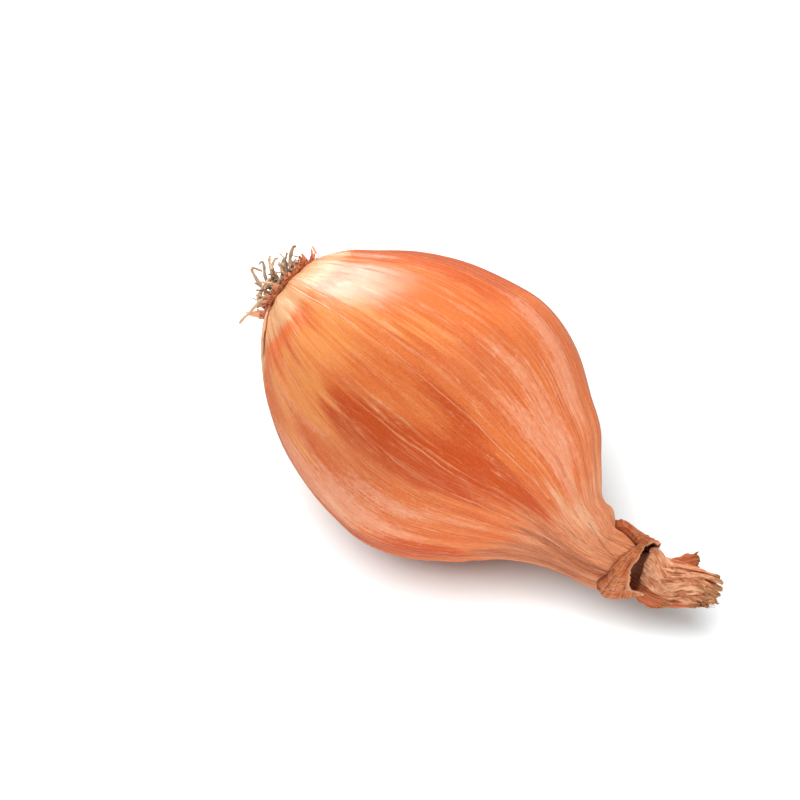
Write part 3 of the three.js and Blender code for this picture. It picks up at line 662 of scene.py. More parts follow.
def skin_finish():
    f = Finish("onion_skin")
    deep, haze_and_sheen, amber = f.split("tone")
    cream, ring, bare = f.split("band")
    pale_and_highlight, brown, pale_line = f.split("mark")
    s = f.split("skin")[2]
    near_neck = f.step(s, 64, 90)
    fibre = f.grain(0.05, 3.4, 3, 0.65)
    streak = f.grain(0.045, 1.1, 3, 0.6)
    broad = f.grain(0.1, 0.4, 3, 0.55)
    blotch = f.grain(0.5, 0.2, 4, 0.65)
    speck = f.grain(0.45, 1.7, 5, 0.75)
    neck_fibre = f.grain(0.1, 2.4, 4, 0.7, 0.45)

    def shifted(mask, *parts):
        """A mask with its edge broken up by noises, each with its size."""
        for source, size in parts:
            mask = f.scaled(f.less(source, 0.5), size, mask)
        return mask

    # The broad tones
    f.base = f.mix(f.step(broad, 0.35, 0.65), (238, 126, 62), (226, 108, 48))
    f.stain(shifted(amber, (streak, 1.6), (blotch, 1.2)), 0.05, 1.05, 0.85, (252, 158, 82))
    deep_share = f.step(shifted(deep, (streak, 1.9), (broad, 0.9), (blotch, 0.8)), 0.05, 1.0)
    f.coat(f.times(deep_share, 0.95), (206, 76, 16))
    # Whitish haze, and on the lower side a painted reflection of the floor
    hazy = shifted(haze_and_sheen, (streak, 1.3), (fibre, 0.8), (speck, 1.8), (blotch, 1.2))
    haze_and_sheen_share = f.step(hazy, 0.15, 1.05)
    f.coat(f.times(haze_and_sheen_share, 0.9), (246, 154, 114))
    f.stain(bare, 0.1, 0.9, 0.85, (214, 92, 34))
    tan = f.mix(f.step(neck_fibre, 0.38, 0.62), (250, 176, 130), (222, 132, 88))
    f.stain(shifted(near_neck, (streak, 1.1), (blotch, 0.9)), 0.3, 0.65, 0.9, tan)
    umber = f.mix(f.step(neck_fibre, 0.38, 0.6), (208, 122, 80), (172, 88, 50))
    f.stain(shifted(brown, (streak, 0.9), (blotch, 0.5), (fibre, 0.3)), 0.2, 0.9, 0.9, umber)
    f.stain(shifted(cream, (streak, 1.5), (fibre, 0.5), (blotch, 0.8)), 0.1, 1.05, 0.9, (244, 188, 134))
    f.stain(shifted(ring, (streak, 0.7), (fibre, 0.3)), 0.2, 1.0, 0.8, (243, 112, 40))
    # Pale skin, with a painted highlight in streaks near the root end
    f.stain(shifted(pale_and_highlight, (fibre, 0.7), (streak, 0.9), (speck, 0.5)), 0.35, 0.95, 0.55, (253, 204, 166))

    # The veins, a light line beside some of them and thinner lines between
    wander = f.grain(0.12, 1, 2, 0.5, 0.35)
    turn = f.scaled(f.less(wander, 0.5), 0.35, f.value("vein"))
    breaks = f.grain(0.16, 1, 3, 0.6, 0.5)
    nearest = f.math("ROUND", turn)
    off_vein = f.times(f.less(turn, nearest), f.value("girth"))

    def lines(width, aside, seed):
        """Lines that run from the root to the neck, in their width in millimetres."""
        away = f.math("ABSOLUTE", f.less(off_vein, aside))
        line = f.less(1.0, f.step(away, width * 0.25, width))
        vein = f.math("MODULO", f.math("ADD", nearest, 20 * VEIN_COUNT), VEIN_COUNT)
        chance = f.random(f.math("ADD", vein, seed))
        return f.times(line, f.step(f.scaled(f.less(breaks, 0.5), 2.4, chance), 0.1, 0.8))

    off_neck = f.less(1.0, f.step(s, 64, 80))
    dark = f.times(lines(0.26, 0, 0), f.scaled(off_neck, 0.55, 0.25))
    light = f.times(lines(0.3, 0.34, 3), off_neck)
    f.coat(f.times(dark, 0.8), (212, 74, 36))
    f.coat(f.times(light, f.step(s, 20, 50), 0.5), (253, 186, 140))
    third = f.scaled(turn, 3.0, f.times(broad, 2.0))
    thin_away = f.math("ABSOLUTE", f.less(third, f.math("ROUND", third)))
    thin_breaks = f.step(f.scaled(near_neck, 0.08, breaks), 0.5, 0.62)
    thin_share = f.times(f.less(1.0, f.step(thin_away, 0.02, 0.1)), thin_breaks)
    f.coat(f.times(thin_share, 0.45), (206, 86, 44))

    # Splits at the neck, flecks in the haze, fine grain, raised lines and cracks
    split_share = f.times(f.step(f.grain(0.15, 2.3, 5, 0.75, 0.5), 0.57, 0.63), near_neck)
    f.coat(f.times(split_share, 0.65), (136, 64, 36))
    flecks = f.grain(0.16, 2.1, 4, 0.7)
    f.stain(flecks, 0.56, 0.72, f.scaled(haze_and_sheen_share, 0.55, 0.1), (252, 206, 178))
    f.stain(streak, 0.5, 0.78, 0.35, (254, 176, 118))
    grain = f.grain(0.6, 4.6, 4, 0.75)
    f.stain(grain, 0.5, 0.64, f.scaled(deep_share, -0.2, 0.32), (254, 186, 140))
    f.stain(grain, 0.48, 0.34, 0.34, (186, 66, 26))
    f.stain(speck, 0.52, 0.64, f.scaled(haze_and_sheen_share, 0.4, 0.03), (253, 194, 160))
    f.stain(fibre, 0.55, 0.7, 0.25, (254, 180, 124))
    f.stain(fibre, 0.42, 0.3, 0.25, (196, 78, 32))
    f.stain(streak, 0.46, 0.26, f.scaled(cream, -0.2, 0.3), (206, 82, 30))
    raised = f.times(f.step(pale_line, 0.78, 0.95), f.step(breaks, 0.45, 0.6))
    f.coat(f.times(raised, 0.55), (253, 190, 146))
    cracked = f.step(shifted(f.value("crack"), (speck, 0.5)), 0.82, 0.98)
    crack_share = f.times(cracked, f.step(fibre, 0.35, 0.6))
    f.coat(f.times(crack_share, 0.6), (132, 54, 26))

    rough = f.scaled(near_neck, 0.22, f.scaled(haze_and_sheen_share, 0.16, 0.24))
    rough = f.math("MAXIMUM", f.scaled(f.less(streak, 0.5), 0.5, rough), 0.14)
    f.set("Subsurface Weight", 0.1)
    f.set("Subsurface Radius", (1.0, 0.35, 0.15))
    f.set("Subsurface Scale", 0.0015)
    height = f.scaled(fibre, 0.5, f.times(light, 0.5))
    for part, size in (
        (streak, 0.8), (dark, -0.15), (thin_share, -0.25), (split_share, -0.5), (crack_share, -0.8),
    ):
        height = f.scaled(part, size, height)
    return f.close(rough, 0.42, f.raise_by(height, 0.07, Normal=f.raise_by(speck, 0.04)))


# The cuff


# How far the cuff stands out of its plain form, from where it leaves the neck to its rim. The front fold
# starts thin, swells, dips in its middle and rises again.
FRONT_FOLD = [[0, -0.8], [0.1, -0.1], [0.28, 0.15], [0.52, -0.3], [0.74, 0.1], [0.9, 0.3], [1, 0.15]]
PLAIN_CUFF = [[0, -0.8], [0.14, -0.1], [0.5, 0], [1, 0.1]]
PINCH_S = 98.2
PINCH_ANGLE = math.radians(-13)
CUFF_SHEET = 0.36


def round_cuff(angle, column):
    return along(CUFF, np.degrees(wrap(angle)), column)


def cuff_station(share, angle):
    start = round_cuff(angle, 1)
    return start + share * (round_cuff(angle, 2) - start)


def cuff_radius(share, angle):
    """The cuff's outer radius, as in the frame but for its creases."""
    s = cuff_station(share, angle)
    hug = bulb_radius(np.minimum(s, NECK_MOUTH), angle) + CUFF_GAP + CUFF_SKIN
    bulge = round_cuff(angle, 3) * np.sin(np.pi * np.clip(share * 1.1, 0, 1))
    rim = round_cuff(angle, 4) * along([[0, 0], [0.6, 0], [1, 1]], share)
    return hug + bulge + rim


def cuff_piece():
    rows = 60
    columns = 380
    share = widen(np.linspace(0, 1, rows), columns)
    angle = round_axis(share)
    torn = 0.22 * rim_noise(angle, 90, 31) + 0.3 * rim_noise(angle, 32, 32)
    s = cuff_station(share, angle) + torn * smooth(share, 0.7, 1)
    s = s + 0.18 * rim_noise(angle, 60, 33) * (1 - smooth(share, 0, 0.3))
    front = bump(angle, 45, 80)
    lobe = bump(angle, -66, 56)
    lift = front * along(FRONT_FOLD, share) + (1 - front) * along(PLAIN_CUFF, share)
    crumple = 0.2 * round_noise(s, angle, 2.4, 34, 34) + 0.12 * round_noise(s, angle, 1.1, 64, 35)
    lift = lift + crumple * smooth(share, 0, 0.2)
    # Creases that run from the pinched point over the far lobe
    fan = np.arctan2(s - PINCH_S, 7.5 * (wrap(angle) - PINCH_ANGLE))
    creases = 0.46 * np.abs(noise(fan * 5 + 30, share * 2 + 5, 36))
    creases = creases + 0.18 * noise(fan * 13 + 30, share * 3, 37)
    lift = lift + creases * (lobe + 0.45 * front) * smooth(share, 0, 0.15) - 0.1
    outer = cuff_radius(share, angle) + lift
    both = lambda value: np.concatenate([value, value[::-1]])
    shape = Shape()
    shape.add(
        np.concatenate([place(s, angle, outer), place(s, angle, outer - CUFF_SHEET)[::-1]]),
        ring_faces(2 * rows, columns), skin=both(rolled(8, angle, s)), edge=both(share), lobe=both(lobe),
        inside=np.concatenate([share * 0, share * 0 + 1]), fan=both(vectors(fan * 3, share, 0)),
    )
    return shape.make("cuff_skin", cuff_finish(), "neck_cuff")


def cuff_finish():
    f = Finish("cuff_skin")
    edge = f.value("edge")
    fine = f.grain(0.3, 3.2, 5, 0.7)
    lines = f.noise(f.vector("fan", 3.2, 2.2, 0), 2.0, 5, 0.72)
    f.base = f.mix(f.step(fine, 0.35, 0.65), (186, 96, 52), (232, 150, 100))
    f.stain(f.grain(1, 0.45, 4, 0.65), 0.42, 0.62, 0.6, (204, 98, 50))
    f.coat(f.times(f.value("lobe"), 0.55), (192, 84, 42))
    f.stain(lines, 0.53, 0.61, 0.75, (122, 48, 24))
    f.stain(lines, 0.46, 0.38, 0.55, (250, 168, 116))
    f.stain(edge, 0.84, 1.0, 0.75, (244, 178, 132))
    # Painted shade: darker along the edge where the cuff leaves the neck, in the crease under it
    f.stain(edge, 0.08, 0.0, 0.6, (112, 46, 24))
    # Painted shade: the cuff's inner face, in the hollow behind its rim, is darkened
    f.coat(f.times(f.value("inside"), 0.85), (96, 32, 16))
    normal = f.raise_by(fine, 0.16, Normal=f.raise_by(lines, -0.3))
    return f.close(f.scaled(fine, 0.2, 0.45), 0.4, normal)


# The dry leaves


def tail_radius(s, angle):
    wide = along(TAIL, s, 1)
    thick = along(TAIL, s, 2)
    across = angle - BEND_TOWARDS
    oval = (wide * thick) / np.hypot(thick * np.cos(across), wide * np.sin(across))
    opening = np.clip((s - 96) / 8, 0, 1)
    turned = angle + TAIL_TWIST * (s - NECK_MOUTH) / (TAIL_END - NECK_MOUTH)
    fold = np.abs(np.sin(TAIL_FOLDS * turned / 2 + 0.5 * np.sin(2 * turned)))
    return oval * (1 + opening * (0.16 * fold - 0.13))


def tail_place(s, outside, front):
    return place(s, BEND_TOWARDS + np.arctan2(front, outside), np.hypot(front, outside))


def tail_round(s, torn, angle, radius):
    """Points at a radius round the middle of the dry leaves, moved along them where they are torn."""
    around = angle - BEND_TOWARDS
    return tail_place(s + torn, along(TAIL, s, 3) + radius * np.cos(around), radius * np.sin(around))


# Strips of leaf, the flap first: along the axis, outside, front, width, turn in degrees, slant
LEAF_STRIPS = [
    [[100.5, 0.3, -2.4, 3.6, 0, -0.1], [103.5, 1.3, -3.0, 4.8, 2, -0.2],
     [106.6, 2.8, -3.4, 5.4, 4, -0.3], [110.4, 4.9, -3.2, 5.4, 6, -0.3]],
    [[96.6, -3.6, 1.4, 3.2, 20, 0.1], [101, -4.7, 1.8, 4.0, 20, 0.1], [103.4, -5.3, 1.8, 4.0, 15, 0],
     [107.2, -5.2, 1.8, 3.2, 15, 0.6]],
    [[101.8, -3.6, 1.0, 3.8, 60, 0], [104.6, -4.9, 1.4, 4.0, 50, 0.1], [107.8, -4.8, 1.6, 3.6, 40, 0.2],
     [112.6, -3.6, 1.6, 2.4, 50, 0.3]],
    [[100.4, 1.8, 2.9, 3.8, -15, 0], [103, 1.5, 3.6, 4.6, -10, 0], [108, 0.7, 3.4, 4.0, 0, 0],
     [116.3, 0.1, 2.2, 2.6, 10, 0.2]],
    [[106, 2.8, 1.2, 2.6, -70, 0], [110.5, 2.5, 1.0, 2.2, -70, 0], [115.8, 1.9, 0.8, 1.6, -60, 0.3]],
    [[106, -2.6, 2.2, 2.6, 40, 0], [110, -2.1, 2.0, 2.2, 40, 0], [116.1, -1.3, 1.6, 1.9, 40, -0.4]],
    [[107, -0.4, -3.0, 3.0, 0, 0], [111, 0.1, -2.5, 2.6, 5, 0], [115.6, 0.7, -1.9, 2.0, 10, 0.3]],
]
STRIP_TINTS = [0.9, 1.0, 0.95, 0.25, 0.4, 0.3, 0.5]
LEAF_SKIN = 0.4
LEAF_SHARES = (0, 0.35, 0.7, 1)  # where the paths of thin leaves and fibres bend
BLADE_COUNT = 16
FIBRE_COUNT = 90
HOLLOW = (0.8, 0.45, 0.1)  # the radii inside the ragged end, as shares of its own
# The edges of the broad leaf: along the axis, angle in degrees
BROAD_LOW = [[99.8, -64], [101.4, -52], [104.6, -22], [106.8, -12], [110, -4], [113.5, 0]]
BROAD_HIGH = [[99.8, 72], [103.2, 83], [106.8, 89], [110.2, 92], [113.5, 104]]
BROAD_SKIN = 0.35


def add_leaf(shape, rows, tint, seed, across, steps=56):
    """A strip of dry leaf with fibres along it, an uneven edge and a torn end."""
    at = curve_through(rows, steps)
    s, side, front, width, turn, slant = (widen(column, across) for column in at.T)
    share, x = strip_grid(steps + 1, across)
    edge = 1 + 0.14 * noise(share * 9 + seed, np.sign(x) + 5, seed)
    reach = x * width * edge
    turn = np.radians(turn)
    fibres = 0.16 * noise(share * 3 + seed, x * 22 + 30, seed + 1)
    cupped = 0.25 * (4 * x * x - 1) + fibres + 0.14 * noise(share * 7, x * 4 + 9, seed + 2) + 0.35
    side = side + reach * np.cos(turn) + cupped * np.sin(turn)
    front = front + reach * np.sin(turn) - cupped * np.cos(turn)
    torn = 0.5 * noise(x * 0 + seed, x * 12 + 40, seed + 3) + 0.4 * noise(x * 0, x * 30 + 40, seed)
    points = tail_place(s + reach * slant + torn * smooth(share, 0.75, 1), side, front)
    add_sheet(shape, points, LEAF_SKIN, vectors(reach, 3.0 * seed, s), tint=tint, tip=share)


def add_core(shape):
    """The twisted leaves in the middle, with their ragged and hollow end."""
    rows = 110
    columns = 216
    s = widen(np.linspace(TAIL_START, TAIL_END, rows), columns)
    angle = round_axis(s)
    tear = 0.9 * np.sin(7 * angle) + 0.5 * np.sin(11 * angle + 1) + 0.6 * rim_noise(angle, 70, 41)
    swirl = angle + s / 22
    folds = 0.2 * np.abs(round_noise(s, swirl, 16, 26, 42)) + 0.12 * round_noise(s, swirl, 9, 60, 43)
    radius = tail_radius(s, angle) + folds * np.clip((s - 96) / 5, 0, 1) - 0.1
    points = [tail_round(s, tear * smooth(s, TAIL_END - 4, TAIL_END), angle, radius)]
    around = angle[-1:] - BEND_TOWARDS
    for k, share in enumerate(HOLLOW):
        ring_s = TAIL_END - 1.0 - 0.5 * k + tear[-1:] * 0.3 * share
        r = radius[-1:] * share
        points.append(tail_place(ring_s, r * np.cos(around), r * np.sin(around)))
    s = np.concatenate([s, np.full((len(HOLLOW), columns), TAIL_END)])
    shape.add(
        np.concatenate(points), capped_faces(len(s), columns), skin=rolled(5, angle[:1], s), tint=0.35,
        tip=smooth(s, 99, TAIL_END),
    )


def add_broad_leaf(shape):
    """The broad dry leaf that comes out of the cuff's hollow, between two edges round the axis."""
    share = widen(np.linspace(0, 1, 110), 130)
    x = share * 0 + np.linspace(0, 1, 130)
    s = 99.9 + 13.4 * share
    low = along(BROAD_LOW, s)
    high = along(BROAD_HIGH, s)
    angle = np.radians(low + x * (high - low) + 2.5 * noise(s * 0.9, np.sign(x - 0.5) * 3 + 9, 44))
    fibres = 0.2 * noise(s / 9 + 5, x * 26 + 20, 45) + 0.1 * noise(s / 5, x * 55 + 5, 46)
    folds = 0.42 * np.abs(noise(s / 11 + 3, x * 7 + share * 2 + 11, 47))
    edges = smooth(x, 0, 0.05) * (1 - 0.4 * smooth(x, 0.95, 1))
    lift = 0.3 + 0.3 * smooth(x, 0.8, 1) * smooth(share, 0.05, 0.3) - 0.45 * (1 - edges)
    radius = tail_radius(s, angle) + lift + (folds + fibres) * smooth(share, 0, 0.08)
    end = 0.9 * noise(x * 9 + 5, x * 0 + 4, 49) + 0.4 * noise(x * 34, x * 0 + 5, 50)
    torn = 0.3 * noise(x * 11, x * 0 + 3, 48) * (1 - smooth(share, 0, 0.1)) + end * smooth(share, 0.8, 1)
    points = tail_round(s, torn, angle, radius)
    add_sheet(shape, points, BROAD_SKIN, vectors(x * 9, 7, s), tint=0.12, tip=0.75 * share)


def add_fibres(shape):
    """Thin fibres that fray out of the ragged end."""
    draw = np.random.default_rng(62).random
    for _ in range(FIBRE_COUNT):
        angle = TURN * draw()
        r = 2.9 * math.sqrt(draw()) + 0.2
        start = 110.5 + 2.5 * draw()
        length = 1.4 + 3.2 * draw()
        route = []
        for share in LEAF_SHARES:
            turned = angle + 0.55 * share * (draw() - 0.5)
            away = r * (1 + 0.3 * share * (draw() - 0.4))
            route.append([start + share * length, turned, away])
        s, angle, r = curve_through(route, 9).T
        path = tail_place(s, r * np.cos(angle), r * np.sin(angle))
        size = 0.07 + 0.11 * draw()
        points, faces = tube(path, size * np.linspace(1, 0.45, len(path)), 5, 0.6)
        skin = np.repeat(vectors(angle * 3, r, s), 5, 0)
        tint = 0.1 + 0.5 * draw()
        shape.add(points, faces, skin=skin, tint=tint, tip=0.8 + 0.2 * draw())


def leaves_piece():
    shape = Shape()
    add_core(shape)
    add_broad_leaf(shape)
    for number, (rows, tint) in enumerate(zip(LEAF_STRIPS, STRIP_TINTS)):
        add_leaf(shape, rows, tint, 51 + number, 26)
    draw = np.random.default_rng(61).random
    for k in range(BLADE_COUNT):
        round_angle = TURN * (k + 0.6 * draw()) / BLADE_COUNT
        start = 100.5 + 3.5 * draw()
        end = 112 + 4.2 * draw()
        width = 1.0 + 1.4 * draw()
        rows = []
        for share in LEAF_SHARES:
            s = start + share * (end - start)
            angle = round_angle - 0.9 * share * (0.6 + 0.5 * draw())
            r = float(tail_radius(np.array(s), np.array(angle + BEND_TOWARDS)))
            r = r - 0.7 + 1.1 * min(share / 0.35, 1) + 0.2 * draw() * share
            middle = float(along(TAIL, np.array(s), 3))
            turn = math.degrees(angle) + 90 + 20 * (draw() - 0.5)
            slant = 0.3 * (draw() - 0.5)
            side = middle + r * math.cos(angle)
            rows.append([s, side, r * math.sin(angle), width * (1 - 0.4 * share), turn, slant])
        add_leaf(shape, rows, 0.15 + 0.5 * draw(), 70 + k, 9, 40)
    add_fibres(shape)
    return shape.make("dry_leaves", leaf_finish(), "neck_leaves")


def leaf_finish():
    f = Finish("dry_leaves")
    fibre = f.grain(0.1, 4.5, 4, 0.6)
    wide = f.grain(0.12, 1.3, 3, 0.55)
    f.base = f.mix(f.step(fibre, 0.35, 0.62), (212, 130, 88), (252, 192, 148))
    f.stain(wide, 0.53, 0.6, 0.55, (178, 84, 44))
    f.stain(f.value("tint"), 0.3, 0.9, 0.8, f.mix(fibre, (176, 76, 36), (228, 124, 74)))
    f.stain(f.grain(0.5, 0.9, 3, 0.6), 0.52, 0.7, 0.45, (146, 66, 34))
    old = f.mix(f.step(fibre, 0.35, 0.65), (116, 66, 34), (214, 156, 96))
    f.stain(f.value("tip"), 0.84, 1.0, 0.8, old)
    # Painted shade: the leaves darken inside the cuff's hollow, below 100.4 mm along the axis
    f.stain(f.split("skin")[2], 100.4, 99.2, 0.85, (92, 34, 18))
    normal = f.raise_by(fibre, 0.12, Normal=f.raise_by(wide, 0.14))
    return f.close(f.scaled(fibre, 0.2, 0.55), 0.35, normal)


# The roots

# Each root that shows plainly, as points [s, angle in degrees, radius]
STRANDS = [
    [[-0.3, 30, 3.2], [-1.9, 42, 3.8], [-2.7, 39, 4.0], [-2.8, 50, 4.4], [-3.0, 67, 5.2], [-3.2, 80, 6.5],
     [-3.5, 89, 8.6], [-3.7, 96, 10.6], [-4.0, 100, 12.5], [-4.0, 104, 13.8]],
    [[-0.3, 42, 3.4], [-1.7, 44, 3.8], [-2.9, 36, 3.9], [-4.2, 31, 3.8], [-6.1, 21, 3.5], [-7.7, 8, 3.4]],
    [[-0.3, 104, 3.0], [-3.4, 101, 3.7], [-5.1, 98, 4.0], [-7.7, 88, 3.7], [-9.3, 80, 3.3],
     [-10.3, 73, 3.1], [-10.2, 64, 2.7], [-9.1, 56, 2.5], [-8.2, 53, 2.1]],
    [[-4.9, 94, 3.8], [-6.3, 92, 4.0], [-7.1, 92, 4.2], [-7.8, 93, 4.4]],
    [[-0.3, 90, 6.2], [-2.2, 92, 7.0], [-3.6, 91, 7.6], [-4.4, 89, 7.1], [-5.0, 82, 6.0], [-5.3, 72, 5.0],
     [-5.5, 55, 3.8], [-5.3, 32, 3.2], [-5.5, 5, 3.0]],
    [[-0.3, 110, 2.4], [-4.0, 108, 2.7], [-5.8, 98, 2.2], [-7.1, 80, 1.7], [-8.2, 48, 1.3],
     [-9.3, 10, 1.4], [-10.1, -1, 1.5], [-10.4, 36, 1.1]],
    [[-0.3, 75, 2.4], [-3.5, 70, 2.5], [-5.4, 46, 2.2], [-7.2, 12, 2.5], [-8.5, -5, 3.0],
     [-9.4, -17, 3.6]],
    [[-5.4, 46, 2.2], [-7.0, 11, 2.6], [-7.7, -12, 3.5], [-7.7, -23, 4.6]],
    [[-0.3, 30, 1.2], [-3.4, 20, 1.2], [-4.3, -6, 2.0], [-5.1, -26, 3.3], [-6.2, -34, 4.2],
     [-6.4, -39, 5.1], [-6.7, -43, 6.2]],
    [[-0.3, -39, 2.6], [-1.8, -39, 2.9], [-2.8, -38, 3.5], [-4.1, -39, 4.5], [-5.3, -42, 5.3],
     [-6.1, -45, 6.6], [-6.7, -48, 8.0], [-6.2, -49, 8.5]],
    [[-0.3, 15, 3.4], [-2.2, 7, 4.0], [-2.7, -6, 4.8], [-2.7, -16, 5.9], [-2.8, -23, 7.0]],
    [[-0.3, 20, 2.3], [-2.0, 16, 2.5], [-3.6, 1, 3.4], [-5.5, -9, 3.9], [-6.7, -12, 4.0]],
    [[-0.3, 8, 2.8], [-1.9, 5, 3.0], [-3.0, -4, 3.8], [-4.0, -11, 4.4], [-5.2, -13, 4.7],
     [-5.9, -13, 4.5]],
    [[-0.3, -14, 2.4], [-2.2, -16, 2.8], [-3.2, -22, 3.7], [-4.2, -27, 4.6], [-5.4, -28, 4.8]],
    [[-0.3, 80, 5.8], [-1.6, 80, 6.2], [-2.6, 82, 6.8], [-3.0, 88, 8.0], [-3.1, 93, 8.9]],
    [[-0.3, 72, 4.8], [-1.4, 72, 5.2], [-2.4, 74, 5.8], [-3.5, 75, 6.0], [-4.6, 74, 5.8]],
]
STRAND_SIZES = [
    0.58, 0.6, 0.52, 0.44, 0.66, 0.56, 0.54, 0.48, 0.48, 0.7, 0.55, 0.66, 0.7, 0.62, 0.56, 0.56,
]
STRAND_TINTS = [0.85, 0.95, 0.6, 0.5, 0.8, 0.55, 0.9, 0.95, 0.45, 0.5, 0.15, 0.9, 1.0, 0.8, 0.7, 0.6]
ROOT_COUNT = 150
ROOT_SIDES = 7
GOLDEN_ANGLE = math.radians(137.5)
# The root plate, as points along the axis and from it
PLATE = [
    [2.4, 0.3], [2.4, 6.6], [0.0, PLATE_RADIUS], [-0.5, 6.8], [-1.0, 6.2], [-1.4, 5.2], [-1.7, 4.0],
    [-1.9, 2.8], [-2.0, 1.6], [-2.0, 0.3],
]


def add_root(shape, path, size, tint, draw):
    share = np.linspace(0, 1, len(path))
    knots = 1 + 0.22 * noise(share * 9 + 9 * tint, share * 0 + 3, 82)
    radii = size * (1 - 0.45 * share**1.5) * knots
    wobble = np.stack([noise(share * 6 + 5 * k, share * 0 + 20 * tint, 83 + k) for k in range(3)], -1)
    path = path + 0.22 * wobble * share[:, None]
    points, faces = tube(path, radii, ROOT_SIDES, 0.6 + 0.3 * draw())
    share = widen(share, ROOT_SIDES)
    skin = vectors(share * 12, 40 * tint, np.sin(round_axis(share)))
    shape.add(points, faces, skin=skin, tint=tint, tip=share)


def grow_root(number, draw):
    """The path of a thin root that grows out of the plate and bends about at random."""
    radius = 5.9 * math.sqrt((number + 0.5) / ROOT_COUNT)
    heading = number * GOLDEN_ANGLE + 0.6 * draw()
    step = (3.0 + 5.8 * draw() ** 1.2) / 5
    slope = 0.1 + 0.75 * radius / 6 + 0.7 * (draw() - 0.5)
    s = 0.2
    path = [place(s, heading, radius)]
    for _ in range(5):
        s -= step * math.cos(slope)
        radius = min(max(0.0, radius + step * math.sin(slope)), 7.0)
        heading += (draw() - 0.5) * 1.5 * step / max(radius, 2)
        slope = min(max(slope + (draw() - 0.4) * 1.5, -1.4), 1.9)
        if radius > 6.4:
            s = min(s, -2.3)
        path.append(place(s, heading, radius))
    return curve_through(path, 26)


def roots_piece():
    shape = Shape()
    columns = 120
    s, radius = (widen(column, columns) for column in zip(*PLATE))
    angle = round_axis(s)
    knobs = 0.5 * round_noise(radius, angle, 0.9, 22, 91) + 0.3 * round_noise(radius, angle, 0.5, 60, 92)
    s = s - np.clip(knobs, -0.3, 1) * (s < -0.2)
    faces = capped_faces(len(PLATE), columns)
    shape.add(place(s, angle, radius), faces, skin=rolled(radius, angle, s), tint=-1.0, tip=0.0)

    draw = np.random.default_rng(93).random
    for rows, size, tint in zip(STRANDS, STRAND_SIZES, STRAND_TINTS):
        s, angle, radius = np.array(rows, float).T
        path = place(s, np.radians(angle), radius)
        add_root(shape, curve_through(path, 12 + 5 * len(rows)), size, tint, draw)
    for number in range(ROOT_COUNT):
        path = grow_root(number, draw)
        add_root(shape, path, 0.2 + 0.26 * draw(), draw(), draw)
    return shape.make("dry_roots", root_finish(), "root_tuft")


def root_finish():
    f = Finish("dry_roots")
    tint = f.value("tint")
    grain = f.grain(1, 2.2, 3, 0.6)
    f.base = f.mix(f.step(tint, 0.0, 0.95), (104, 68, 48), (238, 202, 166))
    f.stain(grain, 0.48, 0.66, 0.45, (158, 116, 82))
    f.stain(f.value("tip"), 0.25, 0.0, 0.5, (92, 58, 40))
    # The plate has a tint of -1
    f.coat(f.step(tint, -0.2, -0.6), f.mix(grain, (52, 30, 20), (128, 84, 56)))
    return f.close(0.75, 0.3, f.raise_by(grain, 0.12))


# The torn skin

FLAKES = [
    # angle, width, reach, lift, curl
    [105, 5.0, 2.8, 3.4, 0.2], [-58, 2.4, 2.6, 2.3, 0.6], [200, 3.6, 2.8, 1.0, 0.3],
]
# Along the axis, angle and width in degrees
SHOULDER_STRIP = [[-0.3, 86, 30], [1.6, 86, 24], [3.6, 89, 16], [5.8, 96, 6]]
STRIP_SKIN = 0.2
FLAKE_SKIN = 0.22
CRUMB_COUNT = 96
CURL = [
    [-0.7, -49, 9.6], [-1.0, -49, 10.2], [-1.7, -49, 10.2], [-2.3, -50, 10.4], [-3.1, -51, 10.7],
    [-3.8, -51, 10.9],
]
CURL_WIDTHS = [[0, 0.1], [0.35, 0.16], [0.5, 0.34], [0.8, 0.32], [1, 0.1]]
TORN_PROFILE = [
    [-0.05, 7.3], [0, 8.4], [0, 9.2], [-0.3, 9.6], [-0.55, 9.8], [-0.62, 9.2], [-0.7, 8.6],
    [-0.86, 8.1], [-1, 7.7], [-0.7, 7.4], [-0.4, 7.25],
]


def off_skin(s, angle, height):
    """A point at a height above the bulb's skin, turned in to the socket where s is below 0."""
    start = np.maximum(s, 0)
    radius = bulb_radius(start, angle)
    rise = (bulb_radius(start + 0.2, angle) - radius) / 0.2
    slant = np.hypot(1, rise)
    return place(start - height * rise / slant, angle, radius + 3 * (s - start) + height / slant)


def add_shoulder_strip(shape):
    """A pale strip of skin that lies on the shoulder beside the root plate."""
    _, x = strip_grid(60, 30)
    s, middle, width = (widen(column, x.shape[1]) for column in curve_through(SHOULDER_STRIP, 59).T)
    ragged = 1 + 0.22 * noise(s * 1.6 + 9, np.sign(x) + 8, 104) + 0.12 * noise(s * 4, np.sign(x) + 8, 105)
    angle = np.radians(middle + x * width * ragged)
    crumple = 0.22 * np.abs(noise(s * 1.2 + 5, x * 5 + 8, 106)) + 0.08 * noise(s * 4, x * 14 + 8, 107)
    lift = 0.12 + 0.35 * crumple + 0.05 * np.abs(2 * x) ** 3
    add_sheet(shape, off_skin(s, angle, lift), STRIP_SKIN, vectors(x * 5, 3, s), tint=1.0)


def add_curl(shape):
    """A thin curl of skin that stands up from the far side of the rim."""
    s, angle, radius = curve_through(CURL, 24).T
    path = place(s, np.radians(angle), radius)
    points, faces = tube(path, along(CURL_WIDTHS, np.linspace(0, 1, len(path))), 6, 0.3)
    shape.add(points, faces, skin=points, tint=1.0)


